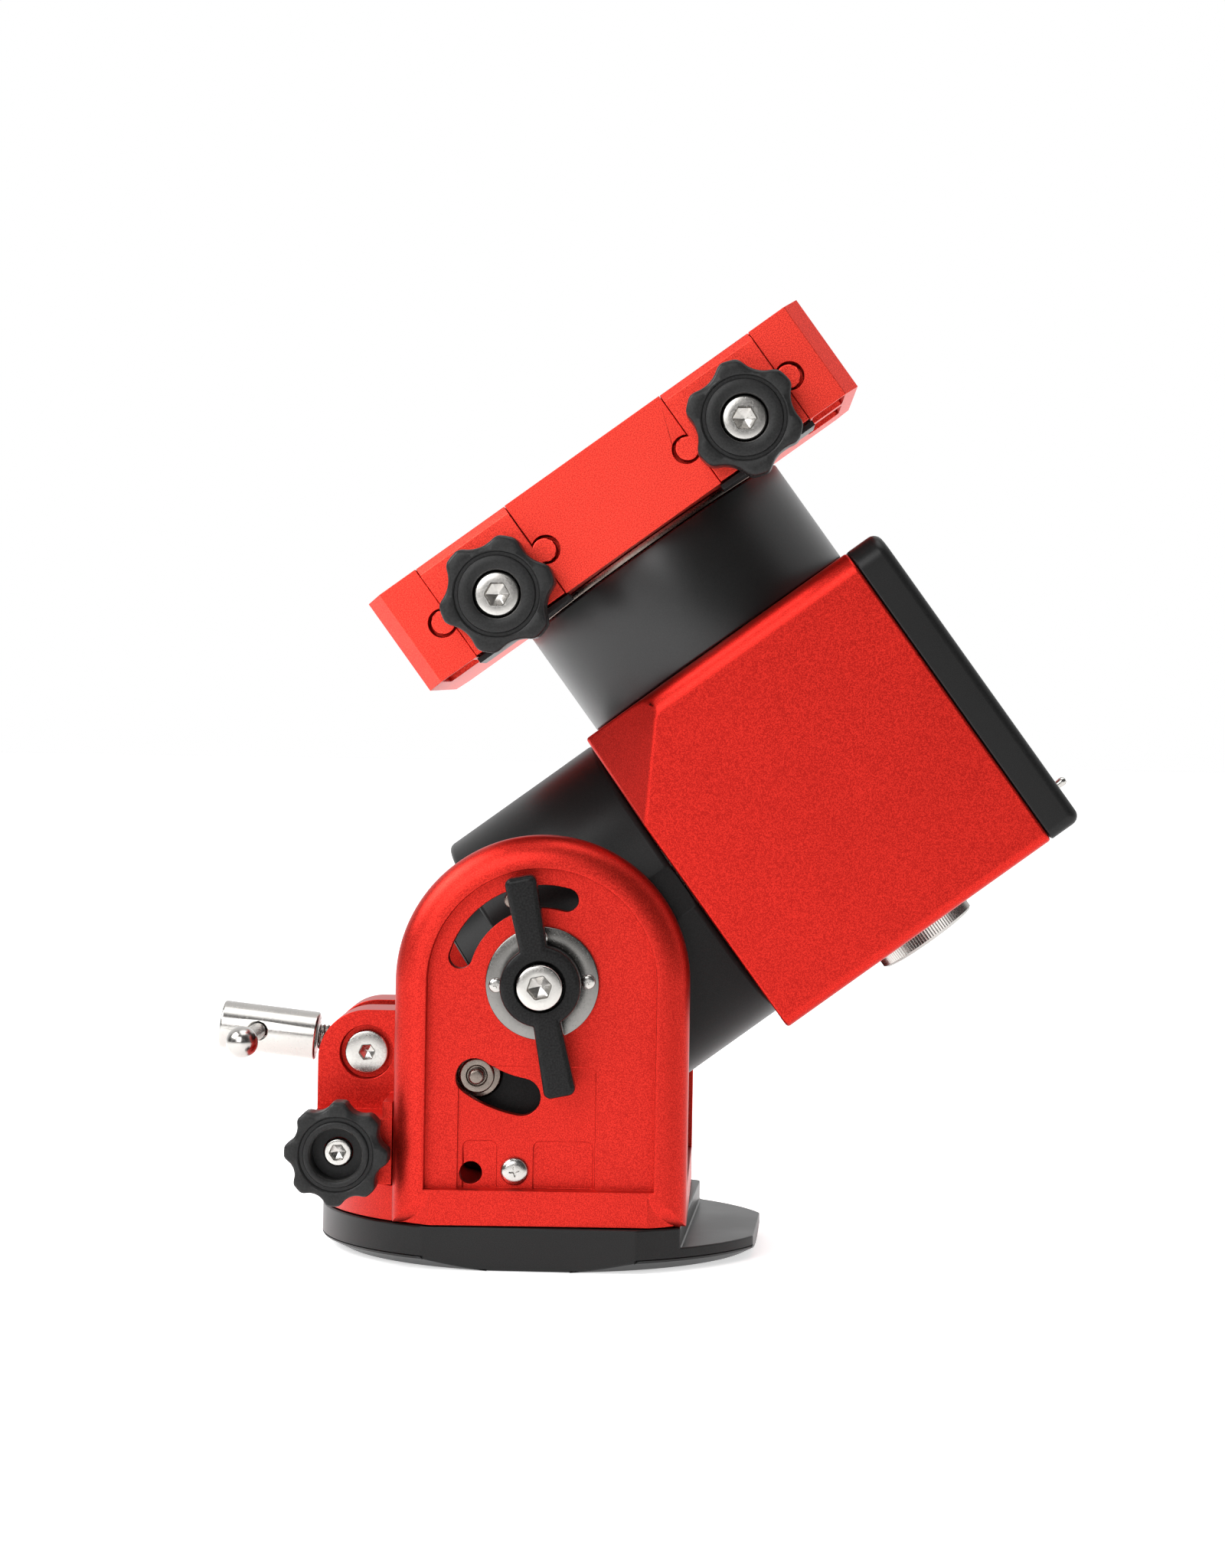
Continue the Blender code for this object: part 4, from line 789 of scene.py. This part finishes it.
# ----- base
BEYOND = 80
BASE_RADIUS = 67.5
BASE_FLAT = 60.0
BASE_END = 62.9
BASE_STEP_START = 43.0
BASE_STEP_TOP = 6.6
BASE_BOLTS = 26
CLAMP_BOLTS = 34
HUB_SHOULDER = 23.3


def build_base():
    low, high = extent("base_plate", BASE)
    profile = rounded([(61.0, 0), (BASE_RADIUS, 3.2), (BASE_RADIUS, high.z)], [0.4, 0.8, 0], 3, closed=False)
    plate = revolve(profile, "Z", steps=160)
    cuts = [
        block((-BEYOND, -BEYOND, -1), (BEYOND, -BASE_FLAT, 20)),
        block((-BEYOND, BASE_FLAT, -1), (BEYOND, BEYOND, 20)),
        block((BASE_END, -BEYOND, -1), (BEYOND, BEYOND, 20)),
        block((BASE_STEP_START, -BEYOND, BASE_STEP_TOP), (BEYOND, BEYOND, 20)),
    ]
    for x in (-BASE_BOLTS, BASE_BOLTS):
        for y in (-BASE_BOLTS, BASE_BOLTS):
            cuts.append(rod(2.6, -1, 8, centre=(x, y, 0), steps=32))
    for y in (-CLAMP_BOLTS, CLAMP_BOLTS):
        cuts.append(rod(3.3, 3.5, 20, centre=(0, y, 0), steps=32))
    piece("base_plate", carve(plate, cuts, bevel=0.5, segments=3, angle=20), BASE, "base", "black_anodised")
    low, high = extent("azimuth_hub", BASE)
    profile = [(20.0, low.z), (20.0, HUB_SHOULDER), (26.0, HUB_SHOULDER), (26.0, high.z), (5, high.z)]
    hub = revolve(profile, "Z", steps=96, edge=0.5)
    piece("azimuth_hub", hub, BASE, "base", "black_anodised")


# ----- fork
FORK_BOTTOM = 12.7
FLOOR_TOP = 22.9
FORK_HALF = 42.4
FORK_FRONT = 59.0
PLATE_INNER = 49.3
POCKET_FACE = 54.6
RIM = 34.0
POCKET = 33.0
SHOULDER = 52.5
AXIS_Z = 82.2
PANEL = (-23.7, 15.8, 58.1)
PANEL_SINK = 0.8
RECESSES = ((-22.2, -12.4, 36.6), (-1.9, 15.2, 36.6))
RECESS_SINK = 1.7
PANEL_SCREW = (-7.2, 0, 27.9)
PANEL_HOLE = (-19.85, 0, 27.2)
LIMIT_SLOT = (24.8, 74.4, 163.4, 3.35)
TRUNNION_SLOT = (33.4, 235.0, 260.6, 5.4)
FLOOR_RADIUS = 66.8


def fork_plate(side):
    """One side plate, its border rounding away from the outer face."""
    rise = FORK_FRONT - SHOULDER
    width = FORK_HALF - RIM
    levels = [(PLATE_INNER, FORK_HALF)]
    levels += [(SHOULDER + rise * sin(turn), FORK_HALF - width * (1 - cos(turn))) for turn in quarter(10)]
    sections = []
    for level, radius in levels:
        bottom = FORK_BOTTOM + (FORK_HALF - radius) * (FLOOR_TOP - FORK_BOTTOM) / width
        outline = [(-radius, bottom), (radius, bottom)] + arc((0, AXIS_Z), radius, 0, 180, 72)
        sections.append([(x, side * level, z) for x, z in outline])
    return loft(sections)


def floor_outline():
    """The fork's round floor, cut flat at the front and at the head's end."""
    side = degrees(acos(FORK_HALF / FLOOR_RADIUS))
    flat = degrees(asin(FORK_FRONT / FLOOR_RADIUS))
    points = arc((0, 0), FLOOR_RADIUS, side, flat, 6)
    points += arc((0, 0), FLOOR_RADIUS, 180 - flat, 180 + flat, 72)
    points += arc((0, 0), FLOOR_RADIUS, -flat, -side, 6)
    return points


def sunk_face(side, outline, face):
    """A cut into a side plate from outside, down to a flat face."""
    low, high = between(side, face, FORK_FRONT + 4)
    return prism(outline, low, high, "XZ")


def sunk_panel(side, left, right, top, face):
    """A shallow panel that is open at the fork's floor."""
    outline = [(left, FLOOR_TOP), (right, FLOOR_TOP), (right, top), (left, top)]
    return sunk_face(side, rounded(outline, [0, 0, 2, 2], 4), face)


def build_fork():
    floor = prism(floor_outline(), FORK_BOTTOM, FLOOR_TOP)
    joins = [fork_plate(-1), fork_plate(1)]
    pocket = [(-POCKET, FLOOR_TOP), (POCKET, FLOOR_TOP)] + arc((0, AXIS_Z), POCKET, 0, 180, 72)
    cuts = []
    for side in (-1, 1):
        cuts.append(sunk_face(side, pocket, POCKET_FACE))
        cuts.append(sunk_panel(side, *PANEL, POCKET_FACE - PANEL_SINK))
        cuts += [sunk_panel(side, *recess, POCKET_FACE - RECESS_SINK) for recess in RECESSES]
    far = FORK_FRONT + 4
    cuts += [
        rod(10.4, -far, far, "Y", (0, 0, AXIS_Z), 64),
        prism(slot_outline((0, AXIS_Z), *LIMIT_SLOT), -far, far, "XZ"),
        prism(slot_outline((0, AXIS_Z), *TRUNNION_SLOT), -far, far, "XZ"),
        rod(3.2, -far, far, "Y", PANEL_HOLE, 40),
        rod(2.0, -far, far, "Y", PANEL_SCREW, 24),
        rod(20.4, 10, 25, "Z", steps=96),
        block((-64.3, -14, 10), (-50, 14, 25)),
        block((-9.5, -38.2, 10), (9.5, -29.8, 25)),
        block((-9.5, 29.8, 10), (9.5, 38.2, 25)),
    ]
    fork = carve(floor, cuts, joins, bevel=0.22, segments=2, angle=25)
    # The fork wears the darker copy of the red metal, painted shade.
    piece("fork", fork, FORK, "fork_body", "red_anodised", finish="red_anodised_fork_painted_shade")


BRACKET_BOTTOM = 23.2
EAR_PIVOT = (-52.9, 0, 58.7)
EAR_HALF = 27.0
EAR_SINK = 23.0
AZIMUTH_BORE = (-57.5, 0, 33.2)
DISC_LOW = POCKET_FACE + 0.3
DISC_HIGH = POCKET_FACE + 2.0


def build_bracket():
    corner, top, left, inner, bottom = 14.4, 71.2, -67.2, -39.5, BRACKET_BOTTOM
    ear = [(inner, bottom), (inner, top)] + arc((left + corner, top - corner), corner, 90, 180, 24)
    body = prism(ear + [(left, bottom)], -EAR_HALF, EAR_HALF, "XZ")
    joins = [
        block((-42.4, -49.0, bottom), (-36.5, 49.0, top - 1)),
        block((left, -52.0, bottom), (-42.7, 52.0, 42.0)),
        block((-45.6, -51.5, bottom), (-42.7, 51.5, 47.0)),
        block((-50, -48, bottom), (-41.4, 48, 41)),
    ]
    cuts = [
        block((-80, -8.2, 45.0), (0, 8.2, 90)),
        block((-64.3, -15, 5), (-50, 15, 41)),
        rod(4.4, -60, 60, "Y", AZIMUTH_BORE, 40),
        rod(4.4, -40, 40, "Y", EAR_PIVOT, 40),
        rod(7.9, -40, -EAR_SINK, "Y", EAR_PIVOT, 64),
        rod(7.9, EAR_SINK, 40, "Y", EAR_PIVOT, 64),
    ]
    bracket = carve(body, cuts, joins, bevel=0.22, segments=2, angle=25)
    # The bracket wears the darker copy of the red metal, painted shade.
    piece("adjuster_bracket", bracket, FORK, "fork_body", "red_anodised", finish="red_anodised_fork_painted_shade")


def build_fork_screws(side, name):
    """The ear screw, the clamp disc with its four screws, and the panel screw of one side."""
    screw = socket_screw(radius=6.4, head_top=26.4, head_bottom=23.3, shank=4.0, tip=9.0, across=4.0,
                         side=side, turn=5, edge=0.5)
    piece("ear_screw_" + name, shifted(screw, EAR_PIVOT), FORK, "fork_body", "stainless")
    profile = [(10.5, DISC_LOW), (16.3, DISC_LOW), (16.3, DISC_HIGH), (10.5, DISC_HIGH)]
    disc = outward(revolve(profile, "Z", steps=96, ring=True, edge=0.35), side)
    piece("clamp_disc_" + name, shifted(disc, (0, 0, AXIS_Z)), FORK, "fork_body", "stainless",
          finish="stainless_disc")
    for index in range(4):
        x, z = polar((0, AXIS_Z), 13.2, 90 * index + 3)
        screw = pan_screw(2.15, DISC_HIGH, 0.9, side, (x, 0, z), 20 + 90 * index)
        piece(f"disc_screw_{name}_{index + 1}", screw, FORK, "fork_body", "stainless")
    screw = pan_screw(4.0, POCKET_FACE - 0.5, 1.6, side, PANEL_SCREW, 10)
    piece("panel_screw_" + name, screw, FORK, "fork_body", "stainless")


# ----- altitude adjuster
HANDLE = (17.5, 46.5)
CROSS_BAR = (35.0, 0, 0)
BALL = 4.65
BAR = 2.5
BAR_ENDS = (-42.0, 13.0)
BLOCK_HALF = 7.7
TRUNNION_PROFILE = [
    (9.5, 0), (9.5, 14), (6.5, 14.5), (6.5, 48), (4.4, 48.3), (4.4, 50.0), (5.1, 50.2), (5.1, 51.4),
    (4.7, 51.9), (3.0, 51.9), (3.0, 51.2), (2.3, 51.2), (2.3, 54.7), (1.7, 55.4), (0.3, 55.4),
]


def tommy_bar_profile():
    """A thin bar with a ball on each end, as (radius, height) points."""
    near, far = BAR_ENDS
    ball = []
    for step in range(1, 16):
        angle = pi * step / 18
        radius, height = BALL * sin(angle), near - BALL * cos(angle)
        if radius >= BAR or height <= near:
            ball.append((radius, height))
    other = [(radius, near + far - height) for radius, height in reversed(ball)]
    bar = [(BAR, near + 4.2), (BAR, far - 4.2)]
    return [(0.3, near - BALL)] + ball + bar + other + [(0.3, far + BALL)]


def build_adjuster():
    reach = (TRUNNION.translation - PIVOT.translation).length / MM
    screw = threaded_rod(4.0, 1.25, -11.8, reach + HANDLE[0] - 0.3)
    piece("adjuster_screw", screw, TRUNNION, "adjuster", "stainless")
    start, end = HANDLE
    handle = revolve([(4.2, start), (7.25, start), (7.25, end), (1.0, end)], "X", steps=96, edge=0.7)
    cross = rod(2.8, -20, 20, "Y", CROSS_BAR, 40)
    handle = carve(handle, [cross], bevel=0.4, segments=3, angle=40)
    piece("adjuster_handle", handle, PIVOT, "adjuster", "stainless")
    bar = revolve(tommy_bar_profile(), "Y", CROSS_BAR, 48)
    piece("tommy_bar", bar, PIVOT, "tommy_bar_body", "stainless")
    pivot = rod(7.0, -BLOCK_HALF, BLOCK_HALF, "Y", steps=64, edge=0.6)
    bore = rod(4.7, -20, 20, "X", steps=48)
    piece("pivot_block", carve(pivot, [bore], bevel=0.25, segments=2, angle=40), PIVOT,
          "pivot_block_body", "dark_steel")
    profile = [(radius, -height) for radius, height in reversed(TRUNNION_PROFILE)] + TRUNNION_PROFILE[1:]
    pin = revolve(profile, "Y", steps=64)
    bore = rod(4.3, -20, 20, "X", steps=48)
    piece("trunnion", carve(pin, [bore], bevel=0.2, segments=2, angle=40), TRUNNION,
          "trunnion_body", "dark_steel")


# ----- polar unit
POLAR_RADIUS = 48.6
POLAR_FLAT = 47.8
CAP_START = -17.0
CAP_STEP = -4.3
LUG = (33, 44.5)
LUG_RADIUS = 9.5
STUB = (48.1, 56.4)


def build_polar_unit():
    low, high = extent("ra_housing", HEAD)
    profile = [(44.0, low.x), (POLAR_RADIUS, low.x), (POLAR_RADIUS, high.x), (44.0, high.x)]
    ring = revolve(profile, "X", steps=192, ring=True, edge=1.6)
    cuts = []
    for side in (-1, 1):
        first, second = between(side, POLAR_FLAT, 60)
        cuts.append(block((-10, first, -7), (60, second, 7)))
    housing = carve(ring, cuts, bevel=0.25, segments=2, angle=12)
    piece("ra_housing", housing, HEAD, "altitude_body", "black_anodised", finish="black_anodised_polar")
    profile = [(1.0, CAP_START), (36.0, CAP_START), (36.0, CAP_STEP), (43.7, CAP_STEP), (43.7, 0), (1.0, 0)]
    cap = revolve(profile, "X", steps=160, edge=0.8)
    trunnion = HEAD.inverted() @ TRUNNION.translation / MM
    lug = [(-8, -36), (-8, 9)] + arc((trunnion.x, trunnion.z), LUG_RADIUS, 110, 250, 24) + [(-26, -34)]
    joins = [prism(lug, *between(side, *LUG), "XZ") for side in (-1, 1)]
    bore = rod(6.8, -60, 60, "Y", (trunnion.x, 0, trunnion.z), 48)
    piece("rear_frame", carve(cap, [bore], joins, bevel=0.5, segments=3, angle=30), HEAD,
          "altitude_body", "black_anodised", finish="black_anodised_polar")
    for side, name in SIDES:
        first, second = between(side, *STUB)
        profile = [(4.3, first), (10.0, first), (10.0, second), (4.3, second)]
        stub = revolve(profile, "Y", steps=64, ring=True, edge=0.4)
        piece("altitude_stub_" + name, stub, ALT, "altitude_body", "stainless")
    low, high = extent("latitude_limit_pin", ALT)
    centre = ((low.x + high.x) / 2, 0, (low.z + high.z) / 2)
    pin = rod(2.4, low.y, high.y, "Y", centre, 40, edge=0.5)
    piece("latitude_limit_pin", pin, ALT, "altitude_body", "dark_steel")


# ----- drive head
HEAD_Y = 52.0
HEAD_N = 50.9
FACET = (26.5, 20.0, 30.5)
WALL = 3.3
COVER_EDGE = 3.0
COVER_SCREWS = (43, 42)


def head_outline(shrink=0.0):
    """The drive head's square section with rounded corners, pulled in by shrink."""
    half_y, half_n = HEAD_Y - shrink, HEAD_N - shrink
    corners = [(half_y, half_n), (-half_y, half_n), (-half_y, -half_n), (half_y, -half_n)]
    top, low = max(7.0 - shrink, 0.8), max(3.2 - shrink, 0.8)
    return rounded(corners, [top, top, low, low], 8)


def facet_block(side, start, depth=0.0):
    """A block whose one face is the slanted corner facet."""
    normal = Vector((-1 / FACET[0], side / FACET[1], 1 / FACET[2])).normalized()
    corner = Vector((start + FACET[0], side * HEAD_Y, HEAD_N)) - normal * depth
    turn = normal.to_track_quat("Z", "Y").to_matrix().to_4x4()
    return shifted(moved(block((-60, -60, 0), (60, 60, 60)), turn), corner)


def build_head_shell():
    low, high = extent("head_shell", HEAD)
    start, seam = low.x, high.x
    shell = prism(head_outline(), start, seam, "YZ")
    inner = carve(prism(head_outline(WALL), start + WALL, seam + 5, "YZ"),
                  [facet_block(-1, start, WALL), facet_block(1, start, WALL)])
    dec = (DEC.translation - HEAD.translation).length / MM
    cuts = [
        inner, facet_block(-1, start), facet_block(1, start),
        rod(27.0, start - 5, start + 6, "X", steps=96),
        rod(36.0, HEAD_N - 8, HEAD_N + 5, "Z", (dec, 0, 0), 96),
        rod(6.4, -HEAD_N - 5, -HEAD_N + 8, "Z", (dec, 0, 0), 48),
    ]
    # The head shell wears the darkest copy of the red metal, painted shade.
    piece("head_shell", carve(shell, cuts, bevel=0.9, segments=4, angle=14), HEAD, "head",
          "red_anodised", finish="red_anodised_head_painted_shade")


def build_head_cover():
    low, high = extent("head_cover", HEAD)
    begin, end = low.x, high.x
    levels = [(begin, 0.35), (begin + 0.35, 0.0)]
    levels += [(end - COVER_EDGE * (1 - sin(turn)), COVER_EDGE * (1 - cos(turn))) for turn in quarter(6)]
    sections = [[(along, y, n) for y, n in head_outline(shrink)] for along, shrink in levels]
    cuts = [prism(head_outline(4.3), begin - 3, end - 4.5, "YZ")]
    far_y, far_n = COVER_SCREWS
    places = [(y, n) for y in (-far_y, far_y) for n in (-far_n, far_n)]
    countersink = [(1.7, end - 8), (1.7, end - 1.9), (3.4, end - 0.2), (3.4, end + 2)]
    cuts += [revolve(countersink, "X", (0, y, n), 40) for y, n in places]
    switch = HEAD.inverted() @ SWITCH.translation / MM
    inlet_low, inlet_high = extent("power_inlet", HEAD)
    inlet = (inlet_low + inlet_high) / 2
    low, high = extent("guide_port", HEAD)
    cuts.append(rod(2.6, end - 10, end + 4, "X", (0, switch.y, switch.z), 40))
    cuts.append(rod(5.9, end - 10, end + 4, "X", (0, inlet.y, inlet.z), 48))
    cuts.append(block((end - 10, low.y - 0.3, low.z - 0.3), (end + 4, high.y + 0.3, high.z + 0.3)))
    cover = carve(loft(sections), cuts, bevel=0.12, segments=2, angle=30)
    piece("head_cover", cover, HEAD, "head", "black_anodised")
    profile = [(1.4, end - 7), (1.4, end - 2.4), (3.2, end - 0.5), (3.2, end - 0.35), (1.5, end - 0.35),
               (1.4, end - 1.6), (0.2, end - 1.9)]
    for index, (y, n) in enumerate(places):
        screw = revolve(profile, "X", (0, y, n), 36)
        piece(f"cover_screw_{index + 1}", screw, HEAD, "head", "stainless")


def build_sockets():
    """The power inlet, the data socket and the toggle switch on the cover."""
    low, high = extent("power_inlet", HEAD)
    centre = (low + high) / 2
    profile = [(3.0, high.x), (5.6, high.x), (5.6, low.x), (1.0, low.x), (1.0, low.x + 5.5),
               (0.8, low.x + 6), (0.5, low.x + 1.5), (3.0, low.x + 1.5)]
    ring = revolve(profile, "X", (0, centre.y, centre.z), 48, ring=True)
    piece("power_inlet", ring, HEAD, "head", "black_plastic")
    low, high = extent("guide_port", HEAD)
    cuts = []
    for depth, wide, tall in ((6.6, 2, 1.8), (1.2, 1.4, 1.2)):
        cuts.append(block((high.x - depth, low.y + wide, low.z + tall),
                          (high.x + 3, high.y - wide, high.z - tall)))
    port = carve(block(tuple(low), tuple(high), 0.4), cuts, bevel=0.15, segments=2)
    piece("guide_port", port, HEAD, "head", "black_plastic")
    profile = [(0.3, -2.0), (1.6, -1.6), (1.5, 0), (1.0, 0.6), (0.95, 1.4), (1.35, 4.4), (1.3, 5.2),
               (0.9, 5.8), (0.2, 6.0)]
    bat = revolve(profile, "X", steps=32)
    piece("power_switch", bat, SWITCH, "power_switch_body", "stainless")


WEIGHT_CAP = (-51.2, -57.6, 15.9)
KNURLS = 110
KNURL_DEPTH = 0.28


def build_weight_cap():
    """The knurled cap: rows of (height, shrink, knurled) from the head outwards."""
    top, bottom, radius = WEIGHT_CAP
    rows = [(top - 0.05, 0.7, 0), (top - 0.6, 0.0, 1), (bottom + 0.9, 0.0, 1), (bottom + 0.2, 0.8, 0),
            (bottom, 1.3, 0), (bottom, 5.0, 0), (bottom + 0.5, 5.4, 0), (bottom + 0.5, 15.5, 0)]
    sections = []
    for level, shrink, knurled in rows:
        section = []
        for step in range(2 * KNURLS):
            reach = radius - shrink - (KNURL_DEPTH if knurled and step % 2 else 0.0)
            section.append((*polar((0, 0), reach, 180 * step / KNURLS), level))
        sections.append(section)
    stem = rod(6.0, top - 0.3, top + 9, "Z", steps=48, edge=0.3)
    piece("counterweight_cap", merged(loft(sections), stem), DEC, "counterweight_cap_body", "stainless")


def build_dec_unit():
    low, high = extent("dec_housing", DEC)
    profile = [(40.0, high.z), (45.0, high.z), (45.0, low.z), (40.0, low.z)]
    housing = revolve(profile, "Z", steps=192, ring=True, edge=0.6)
    piece("dec_housing", housing, DEC, "head", "black_anodised", finish="black_anodised_dec")
    low, high = extent("dec_flexspline", DEC)
    profile = [(25.2, high.z), (42.5, high.z), (42.5, high.z - 1.9), (26.6, high.z - 1.9), (26.6, low.z),
               (25.2, low.z)]
    flange = revolve(profile, "Z", steps=160, ring=True, edge=0.2)
    piece("dec_flexspline", flange, DEC, "saddle", "dark_steel")


# ----- saddle
SADDLE_LOW = 88.1
SADDLE_HIGH = 118.8
SADDLE_HALF = 75.8
SADDLE_Y = 55.0
CHANNEL = 106.0
JAW_AT = 43.0
JAW_HALF = 15.5
KEY_AT = 17.8
KEY_UP = 101.7
KEY_R = 3.4
KNOB_UP = 98.5
CHANNEL_FOOT = 38.5
CHANNEL_MOUTH = 33.6
GROOVE = 98.0
GROOVE_FOOT = 22.6
GROOVE_MOUTH = 20.0
RELIEF = 0.8
RELIEF_INNER = 33.2
JAW_CLEAR = 0.25
KEY_CLEAR = 0.8
POCKETS = (
    ((-71.3, -53.3), (-60.3, -17)),
    ((59.8, -53.3), (71.3, -17)),
    ((59.8, -9), (71.3, 27)),
)


def build_saddle():
    half, side, end, depth = SADDLE_HALF, SADDLE_Y, 4.5, 6.0
    outline = [(half, depth - side), (half, side - depth), (half - end, side), (end - half, side),
               (-half, side - depth), (-half, depth - side), (end - half, -side), (half - end, -side)]
    body = prism(outline, SADDLE_LOW, SADDLE_HIGH)
    channel = [(-CHANNEL_FOOT, CHANNEL), (CHANNEL_FOOT, CHANNEL),
               (CHANNEL_MOUTH, SADDLE_HIGH + 0.2), (CHANNEL_MOUTH, SADDLE_HIGH + 3),
               (-CHANNEL_MOUTH, SADDLE_HIGH + 3), (-CHANNEL_MOUTH, SADDLE_HIGH + 0.2)]
    groove = [(-GROOVE_FOOT, GROOVE), (GROOVE_FOOT, GROOVE),
              (GROOVE_MOUTH, CHANNEL + 1), (-GROOVE_MOUTH, CHANNEL + 1)]
    cuts = [prism(channel, -half - 5, half + 5, "YZ"), prism(groove, -half - 5, half + 5, "YZ")]
    for flank in (1, -1):
        low, high = between(flank, RELIEF_INNER, CHANNEL_FOOT)
        cuts.append(block((-half - 5, low, CHANNEL - RELIEF), (half + 5, high, CHANNEL + 1)))
    wide = JAW_HALF + JAW_CLEAR
    for centre in (-JAW_AT, JAW_AT):
        cuts.append(block((centre - wide, -side - 5, 80), (centre + wide, -36.3, 125)))
        cuts.append(block((centre - wide, -side - 4, CHANNEL + 4), (centre + wide, -33.0, 124)))
        for key in (centre - KEY_AT - 0.4, centre + KEY_AT + 0.4):
            cuts.append(rod(KEY_R + KEY_CLEAR, -side - 5, -45.7, "Y", (key, 0, KEY_UP), 48))
        cuts.append(rod(KNOB_BORE, -side, -25, "Y", (centre, 0, KNOB_UP), 40))
    for (low_a, low_y), (high_a, high_y) in POCKETS:
        cuts.append(block((low_a, low_y, 80), (high_a, high_y, SADDLE_LOW + 6), 1.5))
    piece("saddle_body", carve(body, cuts, bevel=0.14, segments=2, angle=25), DEC, "saddle", "red_anodised")
    for name, centre in (("left", -JAW_AT), ("right", JAW_AT)):
        keeper = block((centre - 16.2, -52, 86.1), (centre + 16.2, -28, 87.8))
        clear = rod(45.3, 80, 120, "Z", steps=128)
        piece("jaw_keeper_" + name, carve(keeper, [clear], bevel=0.2, segments=2), DEC, "saddle",
              "black_anodised")


def build_jaws():
    low, floor, top = 88.4 - KNOB_UP, CHANNEL - KNOB_UP, SADDLE_HIGH - KNOB_UP
    outer, inner = -56.3, -36.6
    section = [(outer, low), (inner, low), (inner, floor), (-38.3, floor + 0.1), (-CHANNEL_MOUTH, top - 0.3),
               (-CHANNEL_MOUTH, top), (outer + 2.6, top), (outer, top - 2.4)]
    for name, place in (("left", LEFT), ("right", RIGHT)):
        jaw = prism(section, -JAW_HALF, JAW_HALF, "YZ")
        tabs = [rod(KEY_R, outer, -46, "Y", (key, 0, KEY_UP - KNOB_UP), 48) for key in (-KEY_AT, KEY_AT)]
        bore = rod(KNOB_BORE, -70, -20, "Y", steps=40)
        piece("clamp_jaw_" + name, carve(jaw, [bore], tabs, bevel=0.14, segments=2, angle=25), place,
              name + "_jaw", "red_anodised")


# ----- everything
def finish_frame_nodes():
    """Give every CAD node that still shows its slot's material."""
    slots = {part["node"]: part["material_slot"] for part in frame["record"]["subparts"]}
    for name, obj in frame["nodes"].items():
        obj.data.materials.clear()
        obj.data.materials.append(MATERIALS[slots[name]])


make_camera()
make_studio()
make_floor()
build_base()
build_fork()
build_bracket()
for fork_side, fork_side_name in SIDES:
    build_fork_screws(fork_side, fork_side_name)
build_levers()
build_azimuth_knobs()
build_adjuster()
build_polar_unit()
build_head_shell()
build_head_cover()
build_sockets()
build_weight_cap()
build_dec_unit()
build_saddle()
build_jaws()
build_saddle_knobs()
finish_frame_nodes()
bpy.context.scene.view_settings.view_transform = "Standard"
